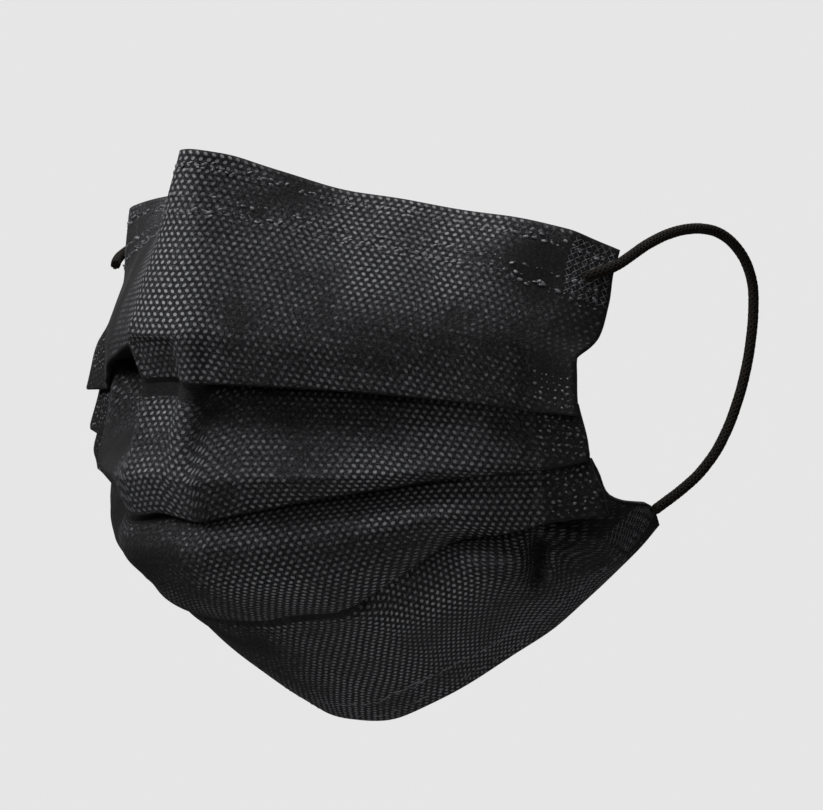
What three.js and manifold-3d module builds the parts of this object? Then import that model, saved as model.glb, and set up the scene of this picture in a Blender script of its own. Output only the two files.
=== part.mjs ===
// Pleated surgical mask: a folded outer web, a skin-side facing and two ear loops.
// Millimetres. +X is the wearer's left, -Y is ahead of the face, +Z is up. The origin is where the
// inner side of the top edge rests on the bridge of the nose.

import * as THREE from 'three';
import { mergeVertices } from 'three/addons/utils/BufferGeometryUtils.js';
import Module from 'manifold-3d';

const wasm = await Module();
wasm.setup();

// ---------------------------------------------------------------- driving dimensions

const HALF_WIDTH = 87.5;      // half of the flat mask's width, centre to side edge
const BAND_WIDTH = 9.5;       // pressed side band that holds the pleats
const WEB_WALL = 1.0;         // outer web
const HEM_WALL = 2.3;         // outer web where it is folded over, in the hems and side bands
const FACING_WALL = 1.0;      // skin-side web
const FACING_GAP = 0.6;       // clearance between the webs
const CORD_DIAMETER = 2.2;    // round elastic ear loop
const CORD_SIDES = 8;
const CORD_STEPS = 44;
const WELD = 0.001;           // points closer than this are one point

// The fold lines from the top edge to the bottom edge. front and level are Y and Z at the centre.
// nose is half the width of the flat front facet, brow and drop are how far back and down its
// crease lies. band and edge are the side band's inner and outer border. bow is how far the cheek
// swells out between crease and band, and sag how far the line hangs there.
const FOLD_ROWS = {
  top: {
    front: -2.3, level: 0, nose: 2.7, brow: 0.4, drop: 0.3,
    band: [57.5, 44.5, -17.0], edge: [63.0, 52.0, -21.0], bow: -8.0, sag: 1.0,
  },
  loop: {
    front: -4.4, level: -7.5, nose: 3.4, brow: 0.5, drop: 0.2,
    band: [56.5, 42.0, -23.0], edge: [62.0, 49.0, -25.0], bow: -4.0, sag: 0.5,
  },
  flap: {
    front: -7.1, level: -16.5, nose: 4.7, brow: 0.6, drop: 0.2,
    band: [56.5, 40.0, -30.0], edge: [62.8, 48.0, -31.5], bow: -1.0, sag: 0.0,
  },
  bend: {
    front: -9.6, level: -24.0, nose: 5.8, brow: 0.6, drop: 0.1,
    band: [56.0, 36.5, -35.5], edge: [62.6, 45.0, -38.0], bow: 0.5, sag: 0.0,
  },
  notch: {
    front: -11.6, level: -30.0, nose: 6.6, brow: 0.6, drop: 0.0,
    band: [54.5, 33.5, -38.5], edge: [61.5, 39.0, -41.5], bow: 1.2, sag: 0.0,
  },
  crease1: {
    front: -13.3, level: -35.6, nose: 7.0, brow: 0.6, drop: 0.0,
    band: [54.5, 33.5, -44.5], edge: [62.0, 37.5, -45.5], bow: 1.6, sag: 0.0,
  },
  lip1: {
    front: -12.1, level: -43.9, nose: 7.2, brow: 0.5, drop: 0.2,
    band: [54.5, 33.5, -51.0], edge: [63.0, 36.5, -51.5], bow: 2.0, sag: -1.2,
  },
  crease2: {
    front: -14.7, level: -62.0, nose: 9.8, brow: 0.8, drop: 1.0,
    band: [55.5, 35.5, -61.0], edge: [64.5, 39.5, -59.0], bow: 2.0, sag: -0.5,
  },
  lip2: {
    front: -12.8, level: -69.0, nose: 9.0, brow: 0.6, drop: 1.7,
    band: [55.5, 35.5, -62.5], edge: [64.5, 39.5, -60.5], bow: 2.0, sag: -1.5,
  },
  swell: {
    front: -14.7, level: -75.5, nose: 9.5, brow: 0.8, drop: 0.5,
    band: [55.5, 36.0, -68.0], edge: [65.5, 41.5, -66.0], bow: 2.0, sag: 1.0,
  },
  lip3: {
    front: -10.5, level: -82.6, nose: 8.0, brow: 0.6, drop: 1.0,
    band: [55.0, 37.0, -73.0], edge: [66.0, 43.0, -71.5], bow: 2.0, sag: 3.5,
  },
  jaw: {
    front: 6.5, level: -92.6, nose: 8.0, brow: 1.5, drop: 0.5,
    band: [57.5, 52.5, -78.5], edge: [62.0, 58.5, -70.0], bow: 3.0, sag: 3.0,
  },
  chin: {
    front: 25.5, level: -106.0, nose: 8.0, brow: 2.0, drop: 0.8,
    band: [56.5, 62.5, -82.5], edge: [59.0, 68.5, -73.5], bow: 3.5, sag: 3.0,
  },
  bottom: {
    front: 45.5, level: -118.3, nose: 8.0, brow: 2.3, drop: 0.4,
    band: [53.0, 70.0, -84.5], edge: [55.0, 77.5, -78.0], bow: 4.0, sag: 3.0,
  },
};

// The pleats. Each tucks the web up behind its lip. under is the line that the tuck climbs to.
// open is the distance from the centre (wearer's left positive) where the pleat has opened most.
// tuck is how much web is hidden and gap how far the tuck's fold stands behind the lip, at that
// place, on the cheek and at the side band.
const PLEATS = {
  lip1: { under: 'crease1', open: 0, tuckOpen: 1.5, tuckBand: 10, gapOpen: 1.2, gapCheek: 4.5, gapBand: 1.6 },
  lip2: { under: 'lip1', open: -10, tuckOpen: 1.5, tuckBand: 10, gapOpen: 0.4, gapCheek: 4.0, gapBand: 1.6 },
  lip3: { under: 'lip2', open: -4, tuckOpen: 1.5, tuckBand: 10, gapOpen: 0.6, gapCheek: 3.5, gapBand: 1.6 },
};

// Stations across half the mask: the share of the way across each zone.
const NOSE_SHARES = [0, 0.5, 1];
const CHEEK_SHARES = [0.06, 0.14, 0.25, 0.38, 0.5, 0.62, 0.75, 0.86, 0.94, 0.985];
const BAND_SHARES = [0, 0.5, 1];

// Centre line of the wearer's left ear loop, from its weld on the top corner to the lower corner.
const EAR_LOOP_ROUTE = [
  [60.2, 43.8, -25.9], [62.9, 47.2, -24.8], [63.9, 51.3, -23.6], [63.9, 56.5, -21.5], [64.0, 62.5, -19.6],
  [64.2, 69.0, -18.2], [64.5, 75.5, -17.7], [65.0, 81.5, -18.1], [65.4, 86.5, -19.6], [65.7, 91.0, -22.4],
  [66.0, 94.2, -26.0], [66.2, 95.8, -30.0], [66.2, 96.0, -34.0], [66.2, 95.4, -39.0], [66.0, 94.4, -44.0],
  [65.7, 93.0, -49.0], [65.2, 89.8, -56.0], [64.4, 85.5, -62.5], [63.3, 80.5, -67.0], [62.4, 75.5, -69.8],
  [61.6, 70.5, -71.9], [60.9, 67.0, -73.4],
];

// ---------------------------------------------------------------- lines of the folded web

const clamp01 = (t) => Math.min(1, Math.max(0, t));
const smooth = (t) => clamp01(t) ** 2 * (3 - 2 * clamp01(t));
const mix = (a, b, t) => a + (b - a) * t;
const UP = new THREE.Vector3(0, 0, 1);

function halfStations() {
  const zone = (name, shares) => shares.map((share) => ({ zone: name, share }));
  return [...zone('nose', NOSE_SHARES), ...zone('cheek', CHEEK_SHARES), ...zone('band', BAND_SHARES)];
}

function stationsAcross() {
  const left = halfStations().map((station) => ({ ...station, side: 1 }));
  const right = left.slice(1).reverse().map((station) => ({ ...station, side: -1 }));
  return [...right, ...left];
}

// Flat distance from the centre line, positive on the wearer's left.
function flatDistance(row, { zone, share, side }) {
  const border = HALF_WIDTH - BAND_WIDTH;
  if (zone === 'nose') return side * row.nose * share;
  if (zone === 'cheek') return side * mix(row.nose, border, share);
  return side * mix(border, HALF_WIDTH, share);
}

function rowPoint(name, { zone, share, side }) {
  const row = FOLD_ROWS[name];
  const centre = new THREE.Vector3(0, row.front, row.level);
  const crease = new THREE.Vector3(row.nose, row.front + row.brow, row.level - row.drop);
  const band = new THREE.Vector3(...row.band);
  const edge = new THREE.Vector3(...row.edge);
  let point;
  if (zone === 'nose') {
    point = centre.lerp(crease, share);
  } else if (zone === 'cheek') {
    const outward = new THREE.Vector3(band.y - crease.y, crease.x - band.x, 0).normalize();
    const swell = 4 * share * (1 - share);
    point = crease.lerp(band, share).addScaledVector(outward, row.bow * swell)
      .addScaledVector(UP, -row.sag * swell);
  } else {
    point = band.lerp(edge, share);
  }
  point.x *= side;
  return point;
}

const STATIONS = stationsAcross();
const rowLine = (name) => STATIONS.map((station) => rowPoint(name, station));

// Inward unit normals of the worn shape along a line, from its neighbours above and below.
function inwardNormals(line, above, below) {
  return line.map((point, i) => {
    const across = line[Math.min(i + 1, line.length - 1)].clone().sub(line[Math.max(i - 1, 0)]);
    const down = below[i].clone().sub(above[i]);
    return across.cross(down).normalize();
  });
}

function betweenLines(a, b, share) {
  return {
    points: a.points.map((point, i) => point.clone().lerp(b.points[i], share)),
    inward: a.inward.map((normal, i) => normal.clone().lerp(b.inward[i], share).normalize()),
  };
}

function foldLines() {
  const names = Object.keys(FOLD_ROWS);
  const rows = names.map(rowLine);
  const lines = {};
  names.forEach((name, i) => {
    const above = rows[Math.max(i - 1, 0)];
    const below = rows[Math.min(i + 1, rows.length - 1)];
    lines[name] = { points: rows[i], inward: inwardNormals(rows[i], above, below) };
  });
  return lines;
}

// The fold behind a lip, where the web turns down again into the next panel.
function valleyLine(lines, name) {
  const pleat = PLEATS[name];
  const lip = lines[name];
  const border = HALF_WIDTH - BAND_WIDTH;
  const points = lip.points.map((point, i) => {
    const away = Math.abs(flatDistance(FOLD_ROWS[name], STATIONS[i]) - pleat.open);
    const far = away / (border - Math.abs(pleat.open));
    const tuck = mix(pleat.tuckOpen, pleat.tuckBand, smooth(far));
    const gap = pleat.gapOpen + (pleat.gapCheek - pleat.gapOpen) * smooth(far / 0.35)
      + (pleat.gapBand - pleat.gapCheek) * smooth((far - 0.6) / 0.4);
    const climb = lines[pleat.under].points[i].clone().sub(point).normalize();
    return point.clone().addScaledVector(climb, tuck).addScaledVector(lip.inward[i], gap);
  });
  return { points, inward: lip.inward };
}

// ---------------------------------------------------------------- solids

function solidFrom(points, triangles) {
  const geometry = new THREE.BufferGeometry();
  geometry.setAttribute('position', new THREE.Float32BufferAttribute(points.flatMap((p) => p.toArray()), 3));
  geometry.setIndex(triangles);
  return toManifold(geometry);
}

function toManifold(geometry) {
  const bare = geometry.clone();
  bare.deleteAttribute('normal');
  bare.deleteAttribute('uv');
  const merged = mergeVertices(bare, WELD);
  return new wasm.Manifold(new wasm.Mesh({
    numProp: 3,
    vertProperties: new Float32Array(merged.attributes.position.array),
    triVerts: new Uint32Array(merged.index.array),
  }));
}

function toGeometry(manifold) {
  const mesh = manifold.getMesh();
  const geometry = new THREE.BufferGeometry();
  geometry.setAttribute('position', new THREE.BufferAttribute(new Float32Array(mesh.vertProperties), 3));
  geometry.setIndex(new THREE.BufferAttribute(new Uint32Array(mesh.triVerts), 1));
  geometry.computeVertexNormals();
  return geometry;
}

const pushed = (line, depth) => line.points.map((p, i) => p.clone().addScaledVector(line.inward[i], depth(i)));

// A closed sheet through several lines: outer points at one depth, inner points at another.
function sheetSolid(lines, outerDepth, innerDepth, first = 0, last = STATIONS.length - 1) {
  const span = last - first + 1;
  const outer = lines.map((line, row) => pushed(line, (i) => outerDepth(row, i)).slice(first, last + 1));
  const inner = lines.map((line, row) => pushed(line, (i) => innerDepth(row, i)).slice(first, last + 1));
  const points = [...outer.flat(), ...inner.flat()];
  const half = span * lines.length;
  const at = (row, i, face) => face * half + row * span + i;
  const triangles = [];
  const quad = (a, b, c, d) => triangles.push(a, b, c, a, c, d);
  for (let row = 0; row < lines.length - 1; row += 1) {
    for (let i = 0; i < span - 1; i += 1) {
      quad(at(row, i, 0), at(row + 1, i, 0), at(row + 1, i + 1, 0), at(row, i + 1, 0));
      quad(at(row, i, 1), at(row, i + 1, 1), at(row + 1, i + 1, 1), at(row + 1, i, 1));
    }
    quad(at(row, 0, 0), at(row, 0, 1), at(row + 1, 0, 1), at(row + 1, 0, 0));
    quad(at(row, span - 1, 0), at(row + 1, span - 1, 0), at(row + 1, span - 1, 1), at(row, span - 1, 1));
  }
  const end = lines.length - 1;
  for (let i = 0; i < span - 1; i += 1) {
    quad(at(0, i, 0), at(0, i + 1, 0), at(0, i + 1, 1), at(0, i, 1));
    quad(at(end, i, 0), at(end, i, 1), at(end, i + 1, 1), at(end, i + 1, 0));
  }
  return solidFrom(points, triangles);
}

const inBand = (i) => STATIONS[i].zone === 'band';

// The outer web: four panels, joined by the tucks that climb behind the three lips.
function coverSolid(lines) {
  const web = (...through) => through.map((line) => ({ line, wall: WEB_WALL }));
  const hem = (...through) => through.map((line) => ({ line, wall: HEM_WALL }));
  const between = (upper, lower, share) => betweenLines(lines[upper], lines[lower], share);
  const [valley1, valley2, valley3] = Object.keys(PLEATS).map((name) => valleyLine(lines, name));
  const upperHem = hem(lines.top, lines.loop, between('loop', 'flap', 0.25));
  const upperWeb = web(between('loop', 'flap', 0.37), lines.flap, lines.bend, lines.notch, lines.crease1);
  const lowerWeb = web(valley3, lines.jaw, lines.chin, between('chin', 'bottom', 0.55));
  const lowerHem = hem(between('chin', 'bottom', 0.62), lines.bottom);
  const pieces = [
    [...upperHem, ...upperWeb, ...web(lines.lip1)],
    web(valley1, lines.lip1),
    web(valley1, lines.crease2, lines.lip2),
    web(valley2, lines.lip2),
    web(valley2, lines.swell, lines.lip3),
    web(valley3, lines.lip3),
    [...lowerWeb, ...lowerHem],
  ];
  return wasm.Manifold.union(pieces.map((rows) => {
    const depth = (row, i) => (inBand(i) ? HEM_WALL : rows[row].wall);
    return sheetSolid(rows.map(({ line }) => line), () => 0, depth);
  }));
}

// The skin-side web spans the tucks smoothly, framed by the hems and the side bands.
function facingSolid(lines) {
  const order = [
    betweenLines(lines.loop, lines.flap, 0.42), lines.bend, betweenLines(lines.bend, lines.notch, 0.6),
    valleyLine(lines, 'lip1'), valleyLine(lines, 'lip2'), valleyLine(lines, 'lip3'),
    lines.jaw, betweenLines(lines.chin, lines.bottom, 0.5),
  ];
  const depth = WEB_WALL + FACING_GAP;
  const first = BAND_SHARES.length + 1;
  return sheetSolid(order, () => depth, () => depth + FACING_WALL, first, STATIONS.length - 1 - first);
}

function earLoopGeometry(side) {
  const route = new THREE.CatmullRomCurve3(EAR_LOOP_ROUTE.map(([x, y, z]) => new THREE.Vector3(side * x, y, z)));
  const section = new THREE.Shape();
  for (let i = 0; i < CORD_SIDES; i += 1) {
    const angle = (i / CORD_SIDES) * 2 * Math.PI;
    const [x, y] = [Math.cos(angle) * CORD_DIAMETER / 2, Math.sin(angle) * CORD_DIAMETER / 2];
    if (i === 0) section.moveTo(x, y);
    else section.lineTo(x, y);
  }
  section.closePath();
  return new THREE.ExtrudeGeometry(section, { extrudePath: route, steps: CORD_STEPS, bevelEnabled: false });
}

// ---------------------------------------------------------------- assembly

const MATERIALS = {
  cover: new THREE.MeshStandardMaterial({ color: 0x1c1c1e, roughness: 0.8, metalness: 0 }),
  facing: new THREE.MeshStandardMaterial({ color: 0xe9e9e7, roughness: 0.9, metalness: 0 }),
  elastic: new THREE.MeshStandardMaterial({ color: 0x17150f, roughness: 0.85, metalness: 0 }),
};

function namedMesh(name, geometry, material) {
  const mesh = new THREE.Mesh(geometry, material);
  mesh.name = name;
  return mesh;
}

const lines = foldLines();
const mask = new THREE.Group();
mask.add(namedMesh('cover', toGeometry(coverSolid(lines)), MATERIALS.cover));
mask.add(namedMesh('inner_facing', toGeometry(facingSolid(lines)), MATERIALS.facing));
mask.add(namedMesh('ear_loop_left', earLoopGeometry(1), MATERIALS.elastic));
mask.add(namedMesh('ear_loop_right', earLoopGeometry(-1), MATERIALS.elastic));

export default mask;
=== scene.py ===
"""A worn, pleated surgical mask: black point-bonded spunbond, a white facing and two knitted ear loops.

The folded web is worked out as one surface: the fold lines run across the mask, and each pleat adds a
lip, a tuck and a valley. Tables are in millimetres, meshes in metres. +X is the wearer's left, -Y is
ahead of the face and +Z is up. The origin is where the top edge rests on the bridge of the nose.
"""

import logging
import math
from dataclasses import dataclass
from enum import Enum
from typing import Any

import bpy
import numpy as np
from mathutils import Matrix, Vector


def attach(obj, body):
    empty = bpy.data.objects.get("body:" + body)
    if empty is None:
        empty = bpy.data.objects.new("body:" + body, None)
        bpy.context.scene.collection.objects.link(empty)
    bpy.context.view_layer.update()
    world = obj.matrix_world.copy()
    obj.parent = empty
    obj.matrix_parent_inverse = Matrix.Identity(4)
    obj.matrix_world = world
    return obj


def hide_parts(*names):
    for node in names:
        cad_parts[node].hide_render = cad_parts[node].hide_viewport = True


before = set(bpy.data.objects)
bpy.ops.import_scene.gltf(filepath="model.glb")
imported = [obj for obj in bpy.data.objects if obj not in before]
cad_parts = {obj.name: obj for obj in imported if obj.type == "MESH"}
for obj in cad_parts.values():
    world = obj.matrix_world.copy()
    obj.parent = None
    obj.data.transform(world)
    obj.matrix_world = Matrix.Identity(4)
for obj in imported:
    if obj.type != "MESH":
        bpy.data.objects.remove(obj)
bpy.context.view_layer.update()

LOG = logging.getLogger("mask")
MM = 0.001
Point = tuple[float, float, float]
Node = bpy.types.Node
Feed = bpy.types.Node | bpy.types.NodeSocket    # what feeds an input
Line = np.ndarray                         # one 3-D point for each station across the mask, in mm
Flat = list[tuple[float, float]]          # flat places on a panel: across from the centre and down, in mm
Marks = list[tuple[int, Flat, float]]     # weld marks: panel, flat places and heading in degrees

HALF_WIDTH = 87.5      # half of the flat mask's width, centre to side edge
BAND_WIDTH = 9.5       # pressed side band that holds the pleats
BAND_START = HALF_WIDTH - BAND_WIDTH
HEM_DEPTH = 11.0       # web folded over along the top edge
FOOT_DEPTH = 8.0       # and along the bottom edge
WEB_WALL = 0.3
HEM_WALL = 0.9
FACING_GAP = 0.04      # between the outer web and the facing
FACING_WALL = 0.12


# ------------------------------------------------------------------ helpers

def linear(code: str) -> tuple[float, float, float, float]:
    """Turns an sRGB hex colour into linear RGBA.

    Args:
        code: Six hex digits, with or without a leading #.

    Returns:
        The linear colour with an alpha of 1.
    """
    digits = code.lstrip("#")
    values = [int(digits[i:i + 2], 16) / 255 for i in (0, 2, 4)]
    bent = [v / 12.92 if v <= 0.04045 else ((v + 0.055) / 1.055) ** 2.4 for v in values]
    return (bent[0], bent[1], bent[2], 1.0)


def ease(share: np.ndarray | float) -> np.ndarray:
    """Returns a smooth step from 0 to 1 for a share that runs from 0 to 1."""
    held = np.clip(share, 0.0, 1.0)
    return held * held * (3 - 2 * held)


def unit(vectors: np.ndarray) -> np.ndarray:
    """Returns the vectors at length 1."""
    return vectors / np.maximum(np.linalg.norm(vectors, axis=-1, keepdims=True), 1e-9)


def nearness(points: np.ndarray, place: Point, wide: float, tall: float) -> np.ndarray:
    """Measures how near points are to a place.

    Args:
        points: The points.
        place: The place.
        wide: How far its surroundings reach level.
        tall: How far they reach up and down.

    Returns:
        1 at the place, falling to 0 well beyond wide and tall.
    """
    offset = points - np.array(place)
    level = np.hypot(offset[..., 0], offset[..., 1])
    return np.exp(-((level / wide) ** 2) - (offset[..., 2] / tall) ** 2)


def feed(node: Node, inputs: dict[int | str, Any]) -> None:
    """Sets or links a node's inputs.

    Args:
        node: The node.
        inputs: Input names or numbers, each with a value, with the socket that feeds it, or with a
            node, which stands for its first output in use.
    """
    for key, value in inputs.items():
        if isinstance(value, bpy.types.Node):
            value = next(output for output in value.outputs if output.enabled)
        if isinstance(value, bpy.types.NodeSocket):
            node.id_data.links.new(value, node.inputs[key])
        else:
            node.inputs[key].default_value = value


def add_node(tree: bpy.types.NodeTree, kind: str, inputs: dict[int | str, Any] | None = None,
             **settings: Any) -> Node:
    """Adds a node, sets its properties, and sets or links its inputs.

    Args:
        tree: The node tree that the node goes into.
        kind: The node's type name.
        inputs: What feeds its inputs, by name or number.
        settings: The node's own properties.

    Returns:
        The new node.
    """
    node = tree.nodes.new(kind)
    for name, value in settings.items():
        setattr(node, name, value)
    feed(node, inputs or {})
    return node


# ------------------------------------------------------------------ the folded web

@dataclass(frozen=True)
class FoldRow:
    """A line across the web, from the centre over the nose crease and the cheek to the side edge.

    front and level place the centre. nose is half the front facet's width, brow and drop how far back
    and down its crease lies. band and edge are the side band's borders. bow is how far the cheek swells
    out, sag how far the line hangs there, and soft how widely its corners are rounded. steps is the
    number of mesh rows from the line above. crisp is how sharply the web is creased along the line, on
    the front facet and on the cheek.
    """

    front: float
    level: float
    nose: float
    brow: float
    drop: float
    band: Point
    edge: Point
    bow: float
    sag: float
    soft: float
    steps: int
    crisp: tuple[float, float]
    sinks_with: str = ""        # the pleat whose set-in lip this line follows half way


# front, level, nose, brow, drop, band, edge, bow, sag, soft, steps, crisp
ROWS: dict[str, FoldRow] = {
    "top": FoldRow(-2.3, 0.0, 2.7, 0.4, 0.3, (57.5, 44.5, -17), (63, 52, -21), -8, 1, 1.2, 0, (0, 0)),
    "loop": FoldRow(-4.4, -7.5, 3.4, 0.5, 0.2, (56.5, 42, -23), (62.8, 49.6, -25), -4, 0.5, 1.4, 8, (0, 0)),
    "flap": FoldRow(-7.1, -16.5, 4.7, 0.6, 0.2, (56.5, 40, -30), (62.8, 48, -31.5), -1, 0, 1.8, 9, (0, 0)),
    "bend": FoldRow(-9.6, -24, 5.8, 0.6, 0.1, (56, 36.5, -35.5), (62.6, 45, -38), 0.5, 0, 2, 8, (0, 0)),
    "notch": FoldRow(-11.6, -30, 6.6, 0.6, 0, (54.5, 33.5, -38.5), (61.5, 39, -41.5), 1.2, 0, 2, 7, (0, 0)),
    "crease1": FoldRow(-13.3, -35.6, 7, 0.6, 0, (54.5, 33.5, -44.5), (62, 37.5, -45.5), 1.6, 0, 2, 7, (1, 0)),
    "step1": FoldRow(
        -13.2, -36.4, 7, 0.6, 0, (54.5, 33.5, -45.3), (62.1, 37.4, -46.1), 1.6, 0, 2, 2, (1, 0), "lip1",
    ),
    "lip1": FoldRow(
        -12.1, -43.9, 7.2, 0.5, 0.2, (54.5, 33.5, -51), (63, 36.5, -51.5), 2, -1.2, 1.2, 9, (1, 1),
    ),
    "crease2": FoldRow(
        -15.5, -62, 9.8, 0.8, 1, (55.5, 35.5, -61.8), (64.5, 39.5, -59.8), 3, 0.5, 1.2, 16, (1, 1),
    ),
    "lip2": FoldRow(-12.8, -69, 9, 0.6, 1.7, (55.5, 35.5, -62.5), (64.5, 39.5, -60.5), 2, -1.5, 1, 8, (0, 1)),
    "swell": FoldRow(-14.7, -75.5, 9.5, 0.8, 0.5, (55, 36.5, -68), (65.5, 41.5, -66), 2, 1, 2, 7, (0, 0)),
    "bulge3": FoldRow(-10.5, -82.6, 8.2, 0.6, 1, (55, 37, -71), (65.8, 42.5, -69.5), 3, 3, 2, 9, (0.5, 0.5)),
    "lip3": FoldRow(6.5, -92.6, 8.4, 0.8, -0.3, (54.8, 37.3, -73), (66, 43, -71.5), 5.3, 1.2, 2, 14, (0, 1)),
    "jaw": FoldRow(16, -99.3, 8, 1.7, 0.6, (57.5, 52.5, -78.5), (62, 58.5, -71.2), 3, 3, 2.5, 12, (0, 0)),
    "chin": FoldRow(25.5, -106, 8, 2, 0.8, (56.5, 62.5, -82.5), (59, 68.5, -73), 3.5, 3, 3.5, 12, (0, 0)),
    "bottom": FoldRow(45.5, -118.3, 8, 2.3, 0.4, (53, 70, -84.5), (55, 77.5, -78), 4, 3, 5, 22, (0, 0)),
}
PANELS = (
    ("top", "loop", "flap", "bend", "notch", "crease1", "step1", "lip1"),
    ("crease2", "lip2"),
    ("swell", "bulge3", "lip3"),
    ("jaw", "chin", "bottom"),
)


@dataclass(frozen=True)
class Fold:
    """How a pleat is folded at one place across the mask.

    at is the distance from the centre. raised moves the lip up, from its own line towards the line
    above. turn is the angle in degrees that the web turns inwards at the lip, 180 where it lies flat
    against its own back, and tuck the length of web behind the lip. sunk is how far the lip is set in,
    and deep how much further in the web passes behind it.
    """

    at: float
    raised: float
    turn: float
    tuck: float
    sunk: float = 0.0
    deep: float = 0.0


# at, raised, turn, tuck, sunk, deep
PLEATS: dict[str, tuple[Fold, ...]] = {
    "lip1": (
        Fold(-87.5, 0, 178, 10), Fold(-65, 0, 178, 10), Fold(-48, 0.02, 176, 10),
        Fold(-45.5, 0.58, 150, 8, 0, 1), Fold(-36, 0.72, 105, 4, 0, 4), Fold(-24, 0.86, 88, 4.5, 0, 5),
        Fold(-10.2, 0.98, 80, 5, 0, 6), Fold(-9, 0.9, 40, 4, 0.2, 4), Fold(-7.8, 0, 6, 1.2, 1.4),
        Fold(-3, 0, 6, 1.2, 2.8),
        Fold(2.4, 0, 6, 1.2, 3.6), Fold(4.4, 0, 12, 1.2, 0.3), Fold(7, 0, 40, 2), Fold(11, 0, 100, 6),
        Fold(20, 0, 118, 9), Fold(45, 0, 122, 10), Fold(60, 0, 155, 10), Fold(70, 0, 176, 10),
        Fold(87.5, 0, 178, 10),
    ),
    "lip2": (
        Fold(-87.5, 0, 178, 10), Fold(-70, 0, 178, 10), Fold(-50, 0, 150, 8), Fold(-30, 0, 60, 4),
        Fold(-14, 0, 8, 1), Fold(-8, 0, 8, 1), Fold(-3, 0, 60, 2), Fold(2, 0, 90, 3), Fold(8, 0, 105, 3.5),
        Fold(12, 0, 115, 4), Fold(25, 0, 122, 6.5), Fold(45, 0, 128, 9.5), Fold(60, 0, 160, 10),
        Fold(70, 0, 178, 10), Fold(87.5, 0, 178, 10),
    ),
    "lip3": (
        Fold(-87.5, 0, 178, 10), Fold(-72, 0, 178, 10), Fold(-60, 0, 160, 7), Fold(-44, 0, 120, 3.5),
        Fold(-26, 0, 40, 1.5), Fold(-15, 0, 6, 0.8), Fold(26, 0, 6, 0.8), Fold(30, 0, 50, 1.2, 0, 0.4),
        Fold(35, 0, 110, 2.5, 0, 1.3), Fold(44, 0, 130, 4, 0, 1.5), Fold(54, 0, 155, 6, 0, 0.8),
        Fold(62, 0, 170, 8), Fold(72, 0, 178, 10), Fold(87.5, 0, 178, 10),
    ),
}


@dataclass(frozen=True)
class Pull:
    """A place where the cloth is pushed or pulled. Points in mm.

    at is the middle, wide and tall how far it reaches level and upright, and move the push. panel is the
    one panel that moves, counted from the top, or None where the layers move together.
    """

    at: Point
    wide: float
    tall: float
    move: Point
    panel: int | None = None


PULLS: tuple[Pull, ...] = (
    Pull((9.5, -9.2, -39.5), 1.6, 3.2, (-0.8, 0.8, 0.0)),
    Pull((-52.0, 38.0, -16.0), 24.0, 12.0, (0.5, 0.0, 3.6)),
    Pull((-60.0, 42.0, -34.0), 16.0, 9.0, (1.8, 0.0, 0.0)),
    Pull((-26.0, 0.0, -80.0), 20.0, 14.0, (1.6, 0.6, 0.0)),
    Pull((-16.0, -3.0, -84.0), 12.0, 3.5, (1.5, 1.3, 0.6)),
    Pull((-66.0, 43.0, -72.0), 8.0, 5.0, (0.0, 0.0, 2.0)),
    Pull((-4.0, -2.0, -7.0), 6.0, 6.0, (-0.8, 0.3, 0.0)),
    Pull((42.0, 24.0, -80.0), 12.0, 8.0, (0.0, 0.0, 3.6)),
    Pull((25.0, 12.0, -88.0), 8.0, 6.0, (0.0, 0.0, -2.0)),
    Pull((42.0, 34.0, -90.0), 20.0, 8.0, (4.2, -5.6, 0.6), 3),
    Pull((44.0, 31.0, -83.5), 15.0, 5.0, (4.8, -6.4, 0.7), 3),
    Pull((50.2, 41.5, -78.9), 2.0, 3.0, (-2.7, 3.6, 0.0), 3),
    Pull((49.6, 42.4, -81.8), 2.0, 3.0, (-2.7, 3.6, 0.0), 3),
    Pull((48.3, 43.9, -84.9), 2.0, 3.0, (-2.7, 3.6, 0.0), 3),
    Pull((52.2, 43.3, -78.9), 1.6, 3.0, (0.9, -1.2, 0.0), 3),
    Pull((51.5, 44.1, -81.8), 1.6, 3.0, (0.9, -1.2, 0.0), 3),
    Pull((50.2, 45.5, -84.9), 1.6, 3.0, (0.9, -1.2, 0.0), 3),
    Pull((38.0, 16.0, -72.5), 16.0, 5.0, (1.5, -2.0, 0.0)),
    Pull((53.6, 33.4, -46.0), 1.5, 8.0, (-0.6, 0.8, 0.0)),
    Pull((54.0, 34.2, -57.0), 1.5, 5.0, (-0.6, 0.8, 0.0)),
    Pull((54.0, 35.4, -67.0), 1.5, 5.0, (-0.6, 0.8, 0.0)),
    Pull((51.2, 30.8, -54.5), 2.6, 3.5, (-0.8, 1.0, 0.0)),
    Pull((24.0, 11.5, -12.0), 7.0, 10.0, (-0.9, 1.2, 0.0)),
    Pull((46.0, 31.0, -24.0), 7.0, 10.0, (0.9, -1.2, 0.0)),
    Pull((55.5, 41.5, -24.0), 4.5, 10.0, (-0.8, 1.1, 0.0)),
    Pull((64.0, 50.0, -28.0), 4.0, 7.0, (0.8, 0.0, 0.0)),
    Pull((6.0, 4.0, -2.0), 6.0, 7.0, (0.0, 0.0, 0.6)),
    Pull((20.0, 20.0, -8.5), 9.0, 8.0, (0.0, 0.0, -0.9)),
    Pull((47.5, 41.0, -15.0), 9.0, 8.0, (0.0, 0.0, 0.7)),
    Pull((-5.0, 20.0, -102.0), 8.0, 12.0, (0.0, 0.0, 0.6)),
    Pull((43.0, 59.0, -97.0), 8.0, 7.0, (0.0, 0.0, -0.6)),
    Pull((64.5, 42.0, -62.0), 5.0, 4.0, (-1.2, 0.0, 0.0)),
)


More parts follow.
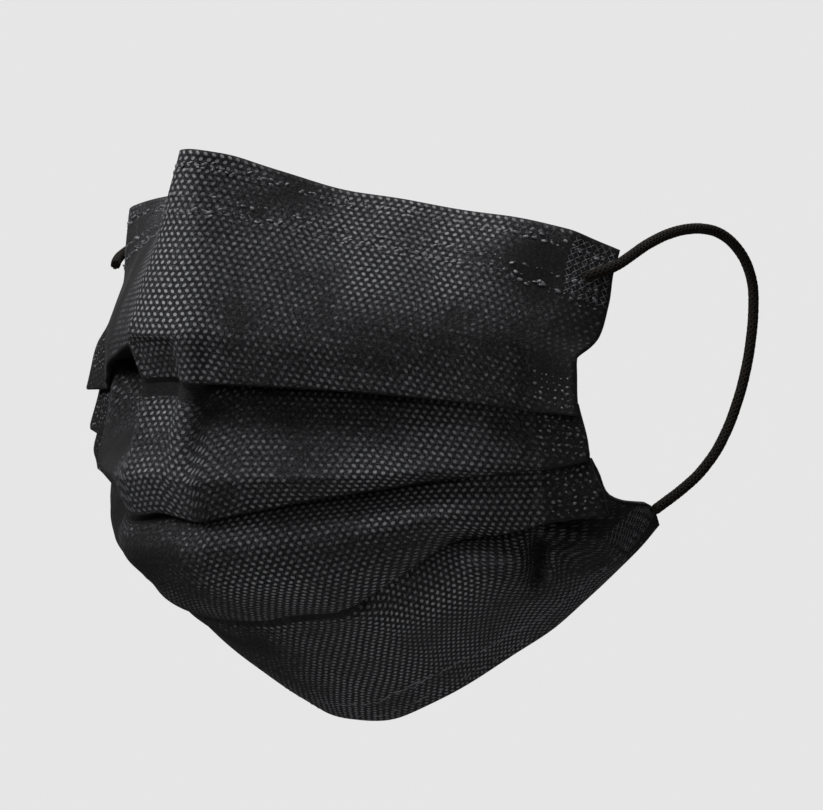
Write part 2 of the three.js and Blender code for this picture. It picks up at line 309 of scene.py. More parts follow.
@dataclass(frozen=True)
class NapShade:
    """A place where the web is painted darker and its bond points are hidden: painted shade where the cloth
    turns from the lights, and in part loose filaments raised by handling.

    at is the middle in mm, wide and tall how far it reaches level and upright, and amount how strongly
    it darkens the web and hides the bond points. At 1 some still show, and at 2 none do. Where it is
    negative, the bond points show more fully than elsewhere: a painted highlight.
    """

    at: Point
    wide: float
    tall: float
    amount: float


# Patches of painted shade, in part nap; the negative one is a painted highlight on the ridge
NAP_SHADES: tuple[NapShade, ...] = (
    NapShade((13.0, 11.0, -9.5), 14.0, 6.0, 1.1),
    NapShade((37.0, 15.0, -39.5), 20.0, 7.0, 0.75),
    NapShade((53.5, 39.0, -22.0), 11.0, 10.0, 0.9),
    NapShade((53.0, 33.0, -54.0), 4.0, 8.0, 0.9),
    NapShade((23.0, -1.0, -60.0), 18.0, 4.5, 0.5),
    NapShade((22.0, -3.0, -75.5), 16.0, 6.0, 0.45),
    NapShade((13.0, -4.5, -28.5), 5.0, 10.0, 0.7),
    NapShade((23.5, 2.5, -34.5), 11.0, 6.0, 0.6),
    NapShade((46.5, 25.0, -39.5), 12.0, 7.0, 0.6),
    NapShade((54.5, 38.0, -30.0), 5.0, 8.0, 0.5),
    NapShade((53.5, 40.5, -21.5), 11.0, 4.5, 0.9),
    NapShade((17.5, 0.0, -52.0), 14.0, 6.0, 0.9),
    NapShade((-3.5, -11.5, -54.5), 8.0, 2.5, 0.6),
    NapShade((48.0, 26.0, -56.5), 7.0, 5.0, 0.7),
    NapShade((-1.0, -13.5, -78.5), 10.0, 8.0, 1.3),
    NapShade((47.5, 26.5, -68.0), 9.0, 4.0, 0.4),
    NapShade((-2.5, 13.5, -97.5), 16.0, 7.0, 0.8),
    NapShade((54.5, 52.5, -82.0), 9.0, 6.0, 0.9),
    NapShade((7.5, -7.5, -49.5), 4.0, 5.0, 0.8),
    NapShade((36.5, 13.5, -75.5), 6.0, 4.0, 0.4),
    NapShade((49.4, 43.0, -82.0), 2.5, 6.0, 1.5),
    NapShade((-2.5, -9.0, -40.5), 5.5, 3.2, 0.8),
    NapShade((-50.0, 38.0, -20.0), 40.0, 25.0, 1.0),
    NapShade((-45.0, 20.0, -60.0), 36.0, 18.0, 1.0),
    NapShade((-28.0, 8.0, -24.0), 14.0, 18.0, 1.6),
    NapShade((-18.0, -3.0, -59.0), 8.0, 10.0, 1.1),
    NapShade((-26.0, 5.0, -66.0), 11.0, 8.0, 1.3),
    NapShade((59.0, 35.7, -44.5), 5.0, 6.0, 1.2),
    NapShade((-25.0, 0.0, -80.0), 18.0, 14.0, 1.0),
    NapShade((-30.0, 20.0, -100.0), 20.0, 12.0, 0.7),
    NapShade((15.5, 2.0, -21.0), 10.0, 6.0, 0.5),
    NapShade((30.0, 10.0, -32.0), 10.0, 5.0, 0.4),
    NapShade((49.5, 31.0, -32.5), 9.0, 6.0, 0.5),
    NapShade((1.0, -10.0, -24.0), 6.0, 14.0, -0.4),
    NapShade((-5.0, 25.0, -105.0), 8.0, 12.0, 0.9),
    NapShade((-7.0, 6.0, -92.0), 8.0, 6.0, 0.8),
)
NAP_SHADE_EVERYWHERE = 0.15
SHADE_IN_FOLDS = 1.7      # painted shade inside a fold: the web is darkened there and its bond points hidden
NAP_SHADE_RANGE = (-0.4, 2.0)


@dataclass(frozen=True)
class WebSurface:
    """The outer face of the web as a grid: rows run down the mask, columns across it. Lengths in mm."""

    points: np.ndarray
    normals: np.ndarray
    across: np.ndarray
    down: np.ndarray
    panels: tuple[tuple[int, int], ...]    # first and last row of each panel that shows

    @property
    def up(self) -> np.ndarray:
        """Flat distance of each point from the bottom edge."""
        return self.down[-1] - self.down

    def nap_shade(self) -> np.ndarray:
        """Adds up the painted shade, in part nap: how strongly the web is darkened and its bond points
        hidden.

        Returns:
            The nap at each grid point, within NAP_SHADE_RANGE.
        """
        amount = np.full(self.down.shape, NAP_SHADE_EVERYWHERE)
        for nap_shade in NAP_SHADES:
            amount += nap_shade.amount * nearness(self.points, nap_shade.at, nap_shade.wide, nap_shade.tall)
        # The rows hidden inside each fold get painted shade.
        for (_, last), (first, _) in zip(self.panels, self.panels[1:]):
            amount[last + 1:first] = SHADE_IN_FOLDS
        return np.clip(amount, *NAP_SHADE_RANGE)

    def inset(self, depth: float | np.ndarray) -> np.ndarray:
        """Returns the grid's points moved inwards by depth."""
        return self.points - self.normals * np.broadcast_to(depth, self.down.shape)[..., None]

    def places(self, flat: Flat, panel: int) -> tuple[np.ndarray, np.ndarray, np.ndarray]:
        """Finds places on a panel from their flat positions.

        Args:
            flat: Distances in mm from the centre and down from the panel's first row, or, where the
                second is negative, up from its last row.
            panel: The panel's number, counted from the top.

        Returns:
            The places, the outward normals and the directions across the mask, one row for each place.
        """
        first, last = self.panels[panel]
        found = []
        for across, down in flat:
            column = np.interp(across, self.across, np.arange(len(self.across)))
            left = min(int(column), len(self.across) - 2)
            share = column - left
            both = []
            for side in (left, left + 1):
                depth = self.down[first:last + 1, side] - self.down[first, side]
                sought = down if down >= 0 else depth[-1] + down
                row = first + np.interp(sought, depth, np.arange(len(depth)))
                above = min(int(row), last - 1)
                part = row - above
                both.append([grid[above, side] * (1 - part) + grid[above + 1, side] * part
                             for grid in (self.points, self.normals)])
            place = both[0][0] * (1 - share) + both[1][0] * share
            normal = both[0][1] * (1 - share) + both[1][1] * share
            found.append((place, unit(normal), unit(both[1][0] - both[0][0])))
        return tuple(np.array(column) for column in zip(*found))


@dataclass(frozen=True)
class WornWeb:
    """Works out the folded, worn web from its fold rows and pleats."""

    spacing: float = 0.95       # between stations on the cheeks
    fine_patch: tuple[float, float, float] = (66.0, 74.0, 0.5)    # from, to and spacing, for the small dent
    nose_spacing: float = 0.5   # between stations over the nose
    nose_reach: float = 16.0
    fine: float = 0.25          # spacing of the working line that is softened and then sampled
    lip_radius: float = 0.5
    valley_radius: float = 0.15
    arc_steps: int = 12         # working steps round a lip or valley
    straight_steps: int = 24    # and along the tuck between them
    bend_worth: float = 0.4     # radians of bend that draw as many mesh rows as 1 mm of length
    fold_rows: int = 16         # mesh rows round a lip, its tuck and its valley
    fold_soft: float = 0.8
    layer_gap: float = 0.15     # kept free between the layers of a flat fold
    passing_share: tuple[float, float] = (0.15, 0.75)   # of the way from a valley to the next line
    flat_turn: tuple[float, float] = (1.9, 2.8)         # radians, from ajar to lying flat
    aim_passes: int = 4         # rounds in which a valley's bend is settled
    passing_rows: int = 8       # mesh rows from a valley to where the web passes behind the lip
    tuck_calm: float = 40.0     # how widely the flat map's tucks are evened out
    least_tuck: float = 0.2     # how far the flat map may shrink a tuck
    lean_reach: float = 9.0     # length of panel that gives a tuck its lean
    free_reach: float = 3.0     # how far below a lip the panel under it is free to move by itself
    ripple: float = 0.22        # height of the cloth's slight ripple
    ripple_waves: int = 10
    ripple_lengths: tuple[float, float] = (11.0, 26.0)
    ripple_axis: float = 45.0   # the ripple moves the cloth straight away from here, behind the mask
    ripple_seed: int = 11

    def stations(self) -> np.ndarray:
        """Spreads the places across the mask at which the web is worked out.

        Returns:
            Their flat distances from the centre, from the wearer's right to the left.
        """
        nose = np.arange(0.0, self.nose_reach, self.nose_spacing)
        count = round((HALF_WIDTH - self.nose_reach) / self.spacing)
        half = np.concatenate([nose, np.linspace(self.nose_reach, HALF_WIDTH, count + 1)])
        start, stop, step = self.fine_patch
        kept = half[(half < start - step / 2) | (half > stop + step / 2)]
        patched = np.sort(np.concatenate([kept, np.arange(start, stop + step / 2, step)]))
        return np.concatenate([-half[:0:-1], patched])

    def soften(self, values: np.ndarray, reach: float) -> np.ndarray:
        """Smooths values along the fine line with a bell of the given reach, keeping its ends.

        Args:
            values: One row of values for each point of the fine line.
            reach: The bell's standard deviation in mm.

        Returns:
            The smoothed values.
        """
        half = max(1, round(3 * reach / self.fine))
        bell = np.exp(-0.5 * (np.arange(-half, half + 1) * self.fine / reach) ** 2)
        bell /= bell.sum()
        flat = values.reshape(len(values), -1)
        before = 2 * flat[0] - flat[half:0:-1]
        after = 2 * flat[-1] - flat[-2:-half - 2:-1]
        padded = np.concatenate([before, flat, after])
        done = np.stack([np.convolve(column, bell, "valid") for column in padded.T], axis=1)
        return done.reshape(values.shape)

    def sampled(self, values: np.ndarray, reach: float) -> np.ndarray:
        """Smooths values along the fine line and samples them at the stations.

        Args:
            values: One row of values for each point of the fine line.
            reach: How widely they are smoothed, in mm.

        Returns:
            One row of values for each station.
        """
        line = self.fine_line()
        soft = self.soften(values, reach).reshape(len(line), -1)
        done = np.stack([np.interp(self.stations(), line, column) for column in soft.T], axis=1)
        return done.reshape((len(done), *values.shape[1:]))

    def fine_line(self) -> np.ndarray:
        """Returns the working line's flat distances from the centre."""
        return np.linspace(-HALF_WIDTH, HALF_WIDTH, round(2 * HALF_WIDTH / self.fine) + 1)

    def row_line(self, row: FoldRow) -> Line:
        """Draws a fold row: a straight front facet, a bowed cheek and a straight side band.

        Args:
            row: The fold row.

        Returns:
            Its points at the stations.
        """
        line = self.fine_line()
        far = np.abs(line)[:, None]
        centre = np.array([0, row.front, row.level])
        crease = np.array([row.nose, row.front + row.brow, row.level - row.drop])
        band, edge = np.array(row.band, float), np.array(row.edge, float)
        cheek = np.clip((far - row.nose) / (BAND_START - row.nose), 0, 1)
        outward = unit(np.array([band[1] - crease[1], crease[0] - band[0], 0.0]))
        swell = 4 * cheek * (1 - cheek) * (outward * row.bow - np.array([0, 0, row.sag]))
        points = np.where(
            far <= row.nose,
            centre + (crease - centre) * far / row.nose,
            np.where(
                far <= BAND_START,
                crease + (band - crease) * cheek + swell,
                band + (edge - band) * (far - BAND_START) / BAND_WIDTH,
            ),
        )
        points[:, 0] *= np.sign(line)
        return self.sampled(points, row.soft)

    def fold_column(self, folds: tuple[Fold, ...], column: str) -> np.ndarray:
        """Reads one column of a pleat's table.

        Args:
            folds: The pleat's table.
            column: The column's name.

        Returns:
            Its value at each station, as one column.
        """
        places = [fold.at for fold in folds]
        values = [getattr(fold, column) for fold in folds]
        return self.sampled(np.interp(self.fine_line(), places, values)[:, None], self.fold_soft)

    def crispness(self, row: FoldRow) -> np.ndarray:
        """Returns how crisp a row's crease is at the stations, from its front facet to its cheeks."""
        share = ease((np.abs(self.stations()) - row.nose + 2) / 3)[:, None]
        return row.crisp[0] + (row.crisp[1] - row.crisp[0]) * share

    def slope(self, rows: np.ndarray) -> Line:
        """Measures the direction in which a panel comes down to its lip, over a pleat's depth.

        Args:
            rows: The panel's lines, down to the lip.

        Returns:
            The direction at each station.
        """
        away = np.linalg.norm(rows - rows[-1], axis=2)[::-1]
        higher = np.empty_like(rows[-1])
        for i in range(len(higher)):
            for axis in range(3):
                higher[i, axis] = np.interp(self.lean_reach, away[:, i], rows[::-1, i, axis])
        return unit(rows[-1] - higher)

    def panel(self, controls: list[tuple[Line, np.ndarray, int]], start: Line | None) -> list[Line]:
        """Runs the web smoothly through control lines.

        Args:
            controls: Lines with their crispness and the mesh rows since the line before.
            start: The direction at the first line, or None to let it run free.

        Returns:
            The lines after the first.
        """
        points = [c[0] for c in controls]
        chords = [unit(b - a) for a, b in zip(points, points[1:])]
        lengths = [np.linalg.norm(b - a, axis=1, keepdims=True) for a, b in zip(points, points[1:])]
        tangents = [chords[0] if start is None else start]
        for i in range(1, len(points) - 1):
            near, far = lengths[i - 1], lengths[i]
            tangents.append((chords[i - 1] * far + chords[i] * near) / (near + far))
        tangents.append(unit(1.5 * chords[-1] - 0.5 * tangents[-1]))
        rows: list[Line] = []
        for i, (chord, length) in enumerate(zip(chords, lengths)):
            crisp_a, crisp_b = (controls[i][1] if i else 0.0), controls[i + 1][1]
            leave = (tangents[i] + (chord - tangents[i]) * crisp_a) * length
            last = i == len(chords) - 1
            arrive = (tangents[i + 1] + (chord - tangents[i + 1]) * (0.0 if last else crisp_b)) * length
            for step in range(1, controls[i + 1][2] + 1):
                t = step / controls[i + 1][2]
                rows.append(
                    points[i] * (2 * t**3 - 3 * t**2 + 1) + leave * (t**3 - 2 * t**2 + t)
                    + points[i + 1] * (3 * t**2 - 2 * t**3) + arrive * (t**3 - t**2)
                )
        return rows

    def tucked(self, tip: Line, down: Line, name: str, aim: Line) -> tuple[list[Line], Line, Line]:
        """Folds the web behind a lip: the lip's arc, the straight tuck and the valley's arc.

        Args:
            tip: The lip's line.
            down: The direction in which the web reaches it.
            name: The pleat's name.
            aim: The next line.

        Returns:
            The fold's lines, the direction in which the web leaves the valley, and the line where it
            passes behind the lip.
        """
        folds = PLEATS[name]
        along = np.gradient(tip, self.stations(), axis=0)
        calm = self.calm(along)
        inward = unit(np.cross(calm, down))
        turn = np.radians(self.fold_column(folds, "turn"))
        tuck = self.fold_column(folds, "tuck")
        bends = np.linspace(0, 1, self.arc_steps + 1)[:, None, None]
        lip = tip + self.lip_radius * (np.sin(bends * turn) * down + (1 - np.cos(bends * turn)) * inward)
        back = np.cos(turn) * down + np.sin(turn) * inward
        outer = np.sin(turn) * down - np.cos(turn) * inward
        foot = lip[-1] + back * tuck
        reached = foot + 2 * self.valley_radius * outer
        way = aim - reached
        share = ((tip - reached) * down).sum(1) / (way * down).sum(1)
        passing = way * np.clip(share, *self.passing_share)[:, None]
        aim = reached + passing + inward * self.fold_column(folds, "deep")
        depth = ((aim - tip) * inward).sum(1)[:, None]
        layers = 2 * (self.lip_radius + self.valley_radius) + self.layer_gap
        behind = tip + inward * np.maximum(layers, depth)
        ajar, flat = self.flat_turn
        aim = aim + (behind - aim) * ease((turn - ajar) / (flat - ajar))
        swing = np.zeros_like(turn)
        for _ in range(self.aim_passes):
            end = foot + self.valley_radius * (np.sin(swing) * back + (1 - np.cos(swing)) * outer)
            to_aim = aim - end
            swing = np.arctan2((to_aim * outer).sum(1), (to_aim * back).sum(1))[:, None]
            swing = np.where(swing < -1.0, swing + 2 * np.pi, swing)
        straight = lip[-1] + (foot - lip[-1]) * np.linspace(0, 1, self.straight_steps + 1)[1:, None, None]
        valley = foot + self.valley_radius * (
            np.sin(bends[1:] * swing) * back + (1 - np.cos(bends[1:] * swing)) * outer
        )
        path = np.concatenate([lip, straight, valley])
        bend = np.concatenate([
            np.repeat(np.abs(turn.T) / self.arc_steps, self.arc_steps, axis=0),
            np.zeros((self.straight_steps, len(turn))),
            np.repeat(np.abs(swing.T) / self.arc_steps, self.arc_steps, axis=0),
        ])
        rows = self.evenly(path, bend)
        leaving = np.cos(swing) * back + np.sin(swing) * outer
        return rows, leaving, aim

    def evenly(self, path: np.ndarray, bend: np.ndarray) -> list[Line]:
        """Spreads the fold's mesh rows along a path, closer together where it bends.

        Args:
            path: Points along the fold, for each station.
            bend: The angle turned on the way to each next point.

        Returns:
            The fold's lines, without the first point.
        """
        length = np.linalg.norm(np.diff(path, axis=0), axis=2)
        worth = np.cumsum(length + bend / self.bend_worth + 1e-4, axis=0)
        weight = np.concatenate([np.zeros((1, path.shape[1])), worth])
        shares = np.linspace(0, 1, self.fold_rows + 1)[1:]
        rows = np.empty((self.fold_rows, path.shape[1], 3))
        for i in range(path.shape[1]):
            for axis in range(3):
                rows[:, i, axis] = np.interp(shares * weight[-1, i], weight[:, i], path[:, i, axis])
        return list(rows)

    def calm(self, values: np.ndarray, reach: float = 3.0) -> np.ndarray:
        """Smooths values at the stations widely, as directions need that must not fan out.

        Args:
            values: One row of values for each station.
            reach: How widely they are smoothed, in mm.

        Returns:
            The smoothed values.
        """
        line = self.fine_line()
        spread = np.stack([np.interp(line, self.stations(), column) for column in values.T], axis=1)
        return self.sampled(spread, reach)

    def surface(self) -> WebSurface:
        """Works out the whole web.

        Returns:
            The outer face as a grid.
        """
        lines = {name: self.row_line(row) for name, row in ROWS.items()}
        crisp = {name: self.crispness(row) for name, row in ROWS.items()}
        names = list(ROWS)
        for name, folds in PLEATS.items():
            above = lines[names[names.index(name) - 1]]
            raised = (above - lines[name]) * self.fold_column(folds, "raised")
            along = self.calm(np.gradient(lines[name], self.stations(), axis=0))
            sunk = unit(np.cross(along, lines[name] - above)) * self.fold_column(folds, "sunk")
            lines[name] = lines[name] + raised + sunk
            for other, row in ROWS.items():
                if row.sinks_with == name:
                    lines[other] = lines[other] + sunk / 2
        rows: list[Line] = [lines["top"]]
        lips: list[int] = []
        leaving: Line | None = None
        passing: Line | None = None
        plain = np.zeros((len(rows[0]), 1))
        for number, panel in enumerate(PANELS):
            controls = [(rows[-1], plain, 0)]
            if passing is not None:
                controls.append((passing, plain, self.passing_rows))
            controls += [(lines[name], crisp[name], ROWS[name].steps) for name in panel if name != "top"]
            added = self.panel(controls, leaving)
            rows += added
            if panel[-1] in PLEATS:
                following = lines[PANELS[number + 1][0]]
                lips.append(len(rows) - 1)
                down = self.slope(np.stack(added))
                added, leaving, passing = self.tucked(rows[-1], down, panel[-1], following)
                rows += added
        shown = [0, *(lip + self.fold_rows + self.passing_rows for lip in lips)]
        panels = tuple(zip(shown, [*lips, len(rows) - 1]))
        return self.finished(np.stack(rows), lips, panels)

    def finished(self, points: np.ndarray, folds: list[int],
                 panels: tuple[tuple[int, int], ...]) -> WebSurface:
        """Adds the pulls and ripples, and measures the web.

        Args:
            points: The folded web before its small dents.
            folds: The row at which each lip lies. The tucks, which are hidden, take up what the flat
                map has to give, so that the bond points lie evenly where they show.
            panels: The first and last row of each panel that shows.

        Returns:
            The finished grid.
        """
        points = points + self.dents(points, panels)
        along = np.gradient(points, axis=1)
        down = np.gradient(points, axis=0)
        normals = -unit(np.cross(along, down))
        steps = np.linalg.norm(np.diff(points, axis=0), axis=2)
        for start in folds:
            hidden = slice(start, start + self.fold_rows + self.passing_rows)
            taken = steps[hidden].sum(axis=0)
            reached = steps[:start].sum(axis=0) + taken
            spare = self.calm(reached[:, None], self.tuck_calm)[:, 0] - reached
            steps[hidden] *= np.maximum(1 + spare / taken, self.least_tuck)
        lengths = np.concatenate([np.zeros((1, points.shape[1])), np.cumsum(steps, axis=0)])
        return WebSurface(points, normals, self.stations(), lengths, panels)

    def dents(self, points: np.ndarray, panels: tuple[tuple[int, int], ...]) -> np.ndarray:
        """Works out the pulls and the cloth's slight ripple.

        Args:
            points: The folded web.
            panels: The first and last row of each panel that shows.

        Returns:
            How far each point moves.
        """
        moved = np.zeros_like(points)
        steps = np.linalg.norm(np.diff(points, axis=0, prepend=points[:1]), axis=2)
        for pull in PULLS:
            share = nearness(points, pull.at, pull.wide, pull.tall)
            if pull.panel is not None:
                first, last = panels[pull.panel]
                below = np.cumsum(steps[first + 1:last + 1], axis=0)
                free = np.zeros_like(share)
                free[first + 1:last + 1] = ease(below / self.free_reach)
                share = share * free
            moved += share[..., None] * np.array(pull.move)
        random = np.random.default_rng(self.ripple_seed)
        outward = unit((points - np.array([0, self.ripple_axis, 0])) * np.array([1, 1, 0]))
        height = np.zeros(points.shape[:2])
        for _ in range(self.ripple_waves):
            wave = random.normal(size=3)
            wave = wave / np.linalg.norm(wave) / random.uniform(*self.ripple_lengths)
            height += np.sin(2 * np.pi * (points @ wave) + random.uniform(0, 6.28)) / 3
        return moved + outward * (height * self.ripple)[..., None]


# ------------------------------------------------------------------ meshes

def grid_mesh(name: str, points: np.ndarray, across: np.ndarray, down: np.ndarray) -> bpy.types.Mesh:
    """Builds a mesh of quads from a grid of points.

    Args:
        name: The mesh's name.
        points: Rows by columns by 3, in mm.
        across: The points' places across the flat web, in mm, for the map named flat.
        down: Their places down it.

    Returns:
        The mesh, in metres, smooth shaded.
    """
    rows, columns = points.shape[:2]
    index = np.arange(rows * columns).reshape(rows, columns)
    corners = (index[:-1, :-1], index[1:, :-1], index[1:, 1:], index[:-1, 1:])
    quads = np.stack(corners, axis=-1).reshape(-1, 4)
    mesh = bpy.data.meshes.new(name)
    mesh.from_pydata((points.reshape(-1, 3) * MM).tolist(), [], quads.tolist())
    layer = mesh.uv_layers.new(name="flat")
    values = np.stack([across.reshape(-1)[quads], down.reshape(-1)[quads]], axis=-1)
    layer.uv.foreach_set("vector", values.astype(np.float32).ravel())
    mesh.polygons.foreach_set("use_smooth", [True] * len(quads))
    mesh.update()
    return mesh


def add_object(name: str, data: Any) -> bpy.types.Object:
    """Adds an object to the scene.

    Args:
        name: The object's name.
        data: Its mesh, curve, light or camera.

    Returns:
        The object.
    """
    made = bpy.data.objects.new(name, data)
    bpy.context.scene.collection.objects.link(made)
    return made


def evaluated_mesh(made: bpy.types.Object) -> bpy.types.Mesh:
    """Copies an object's evaluated shape.

    Args:
        made: The object, with its modifiers or as a curve.

    Returns:
        A new plain mesh.
    """
    bpy.context.view_layer.update()
    graph = bpy.context.evaluated_depsgraph_get()
    return bpy.data.meshes.new_from_object(made.evaluated_get(graph), depsgraph=graph)


def frozen_mesh(made: bpy.types.Object) -> bpy.types.Object:
    """Turns an object's evaluated shape into its plain mesh and drops the modifiers.

    Args:
        made: The object.

    Returns:
        The same object.
    """
    mesh = evaluated_mesh(made)
    made.modifiers.clear()
    made.data = mesh
    return made


# ------------------------------------------------------------------ geometry trees

def start_tree(name: str, inputs: dict[str, float | int]) -> tuple[bpy.types.NodeTree, Node]:
    """Starts a Geometry Nodes tree.

    Args:
        name: The tree's name.
        inputs: The tree's inputs by name, with the values they start from. Lengths in metres.

    Returns:
        The tree and its input node.
    """
    tree = bpy.data.node_groups.new(name, "GeometryNodeTree")
    tree.interface.new_socket("Geometry", in_out="INPUT", socket_type="NodeSocketGeometry")
    tree.interface.new_socket("Geometry", in_out="OUTPUT", socket_type="NodeSocketGeometry")
    for label, value in inputs.items():
        kind = "NodeSocketInt" if isinstance(value, int) else "NodeSocketFloat"
        tree.interface.new_socket(label, in_out="INPUT", socket_type=kind).default_value = value
    return tree, add_node(tree, "NodeGroupInput")


def end_tree(tree: bpy.types.NodeTree, shape: Feed, material: bpy.types.Material) -> None:
    """Ends a tree: the instances are made real, smoothed and given their material.

    Args:
        tree: The tree.
        shape: The shape that it has made.
        material: The shape's material.
    """
    real = add_node(tree, "GeometryNodeRealizeInstances", {0: shape})
    smooth = add_node(tree, "GeometryNodeSetShadeSmooth", {0: real})
    dressed = add_node(tree, "GeometryNodeSetMaterial", {"Geometry": smooth, "Material": material})
    add_node(tree, "NodeGroupOutput", {0: dressed})


def grown(made: bpy.types.Object, tree: bpy.types.NodeTree,
          inputs: dict[str, float | int]) -> bpy.types.Object:
    """Grows an object's shape with a tree and keeps the result as its plain mesh.

    Args:
        made: The object that holds the points or the path.
        tree: The tree.
        inputs: Values for the tree's inputs, by name.

    Returns:
        The same object.
    """
    modifier = made.modifiers.new(tree.name, "NODES")
    modifier.node_group = tree
    for item in tree.interface.items_tree:
        if item.in_out == "INPUT" and item.name in inputs:
            modifier[item.identifier] = inputs[item.name]
    return frozen_mesh(made)


def weld_tree(material: bpy.types.Material) -> bpy.types.NodeTree:
    """Builds the tree that sets one small weld mark on each point.

    A point's "facing" is the web's outward normal there and its "heading" the mark's long direction.

    Args:
        material: The marks' material.

    Returns:
        The tree.
    """
    tree, given = start_tree("weld_marks", {
        "Mark length": 0.0012, "Mark width": 0.0006, "Mark height": 0.0002,
        "Unevenness": 0.3, "Tilt": 0.2, "Seed": 5,
    })
    tilt, uneven, seed = (given.outputs[name] for name in ("Tilt", "Unevenness", "Seed"))
    dome = add_node(tree, "GeometryNodeMeshUVSphere", {"Segments": 6, "Rings": 4, "Radius": 0.5})
    facing = add_node(tree, "GeometryNodeInputNamedAttribute", {"Name": "facing"}, data_type="FLOAT_VECTOR")
    heading = add_node(tree, "GeometryNodeInputNamedAttribute", {"Name": "heading"}, data_type="FLOAT_VECTOR")
    stood = add_node(tree, "FunctionNodeAlignRotationToVector", {"Vector": facing}, axis="Z")
    headed = add_node(tree, "FunctionNodeAlignRotationToVector", {"Rotation": stood, "Vector": heading},
                      axis="X", pivot_axis="Z")
    backward = add_node(tree, "ShaderNodeMath", {0: tilt, 1: -1.0}, operation="MULTIPLY")
    lean = add_node(tree, "FunctionNodeRandomValue", {"Min": backward, "Max": tilt, "Seed": seed},
                    data_type="FLOAT_VECTOR")
    leaning = add_node(tree, "FunctionNodeEulerToRotation", {0: lean})
    turned = add_node(tree, "FunctionNodeRotateRotation", {0: headed, 1: leaning}, rotation_space="LOCAL")
    least = add_node(tree, "ShaderNodeMath", {0: 1.0, 1: uneven}, operation="SUBTRACT")
    most = add_node(tree, "ShaderNodeMath", {0: 1.0, 1: uneven}, operation="ADD")
    share = add_node(tree, "FunctionNodeRandomValue", {"Min": least, "Max": most, "Seed": seed},
                     data_type="FLOAT")
    sides = [given.outputs[name] for name in ("Mark length", "Mark width", "Mark height")]
    size = add_node(tree, "ShaderNodeCombineXYZ", dict(enumerate(sides)))
    scale = add_node(tree, "ShaderNodeVectorMath", {0: size, "Scale": share}, operation="SCALE")
    marks = add_node(tree, "GeometryNodeInstanceOnPoints", {
        "Points": given.outputs["Geometry"], "Instance": dome, "Rotation": turned, "Scale": scale,
    })
    end_tree(tree, marks, material)
    return tree


def knitted_cord_tree(material: bpy.types.Material) -> bpy.types.NodeTree:
    """Builds the tree that winds yarns round a path in both directions, over a plain core.

    Args:
        material: The cord's material.

    Returns:
        The tree.
    """
    tree, given = start_tree("knitted_cord", {
        "Cord radius": 0.0011, "Yarn radius": 0.0002, "Yarns": 8, "Turn length": 0.006, "Step": 0.0003,
    })
    cord_radius, yarn_radius = given.outputs["Cord radius"], given.outputs["Yarn radius"]
    route = add_node(tree, "GeometryNodeMeshToCurve", {0: given.outputs["Geometry"]})
    fine = add_node(tree, "GeometryNodeResampleCurve", {"Curve": route, "Length": given.outputs["Step"]},
                    mode="LENGTH")
    reach = add_node(tree, "ShaderNodeMath", {0: cord_radius, 1: yarn_radius}, operation="SUBTRACT")
    core_ring = add_node(tree, "GeometryNodeCurvePrimitiveCircle", {"Resolution": 10, "Radius": reach})
    core = add_node(tree, "GeometryNodeCurveToMesh",
                    {"Curve": fine, "Profile Curve": core_ring, "Fill Caps": True})
    copies = add_node(tree, "GeometryNodeDuplicateElements",
                      {"Geometry": fine, "Amount": given.outputs["Yarns"]}, domain="SPLINE")
    number = copies.outputs["Duplicate Index"]
    odd = add_node(tree, "ShaderNodeMath", {0: number, 1: 2.0}, operation="MODULO")
    hand = add_node(tree, "ShaderNodeMath", {0: odd, 1: 2.0, 2: -1.0}, operation="MULTIPLY_ADD")
    along = add_node(tree, "GeometryNodeSplineParameter").outputs["Length"]
    turns = add_node(tree, "ShaderNodeMath", {0: along, 1: given.outputs["Turn length"]}, operation="DIVIDE")
    handed = add_node(tree, "ShaderNodeMath", {0: turns, 1: hand}, operation="MULTIPLY")
    phase = add_node(tree, "ShaderNodeMath", {0: number, 1: given.outputs["Yarns"]}, operation="DIVIDE")
    whole = add_node(tree, "ShaderNodeMath", {0: handed, 1: phase}, operation="ADD")
    angle = add_node(tree, "ShaderNodeMath", {0: whole, 1: math.tau}, operation="MULTIPLY")
    normal = add_node(tree, "GeometryNodeInputNormal")
    tangent = add_node(tree, "GeometryNodeInputTangent")
    side = add_node(tree, "ShaderNodeVectorMath", {0: tangent, 1: normal}, operation="CROSS_PRODUCT")
    offsets = []
    for direction, wave in ((normal, "COSINE"), (side, "SINE")):
        share = add_node(tree, "ShaderNodeMath", {0: angle}, operation=wave)
        out = add_node(tree, "ShaderNodeMath", {0: share, 1: reach}, operation="MULTIPLY")
        moved = add_node(tree, "ShaderNodeVectorMath", {0: direction, "Scale": out}, operation="SCALE")
        offsets.append(moved)
    offset = add_node(tree, "ShaderNodeVectorMath", dict(enumerate(offsets)), operation="ADD")
    wound = add_node(tree, "GeometryNodeSetPosition", {"Geometry": copies, "Offset": offset})
    yarn_ring = add_node(tree, "GeometryNodeCurvePrimitiveCircle", {"Resolution": 5, "Radius": yarn_radius})
    yarns = add_node(tree, "GeometryNodeCurveToMesh",
                     {"Curve": wound, "Profile Curve": yarn_ring, "Fill Caps": True})
    both = add_node(tree, "GeometryNodeJoinGeometry", {0: core})
    feed(both, {0: yarns})
    end_tree(tree, both, material)
    return tree


# ------------------------------------------------------------------ finishes

def start_material(name: str) -> tuple[bpy.types.Material, bpy.types.NodeTree, Node]:
    """Starts a material.

    Args:
        name: Its name.

    Returns:
        The material, its node tree and its shader.
    """
    made = bpy.data.materials.new(name)
    made.use_nodes = True
    return made, made.node_tree, made.node_tree.nodes["Principled BSDF"]


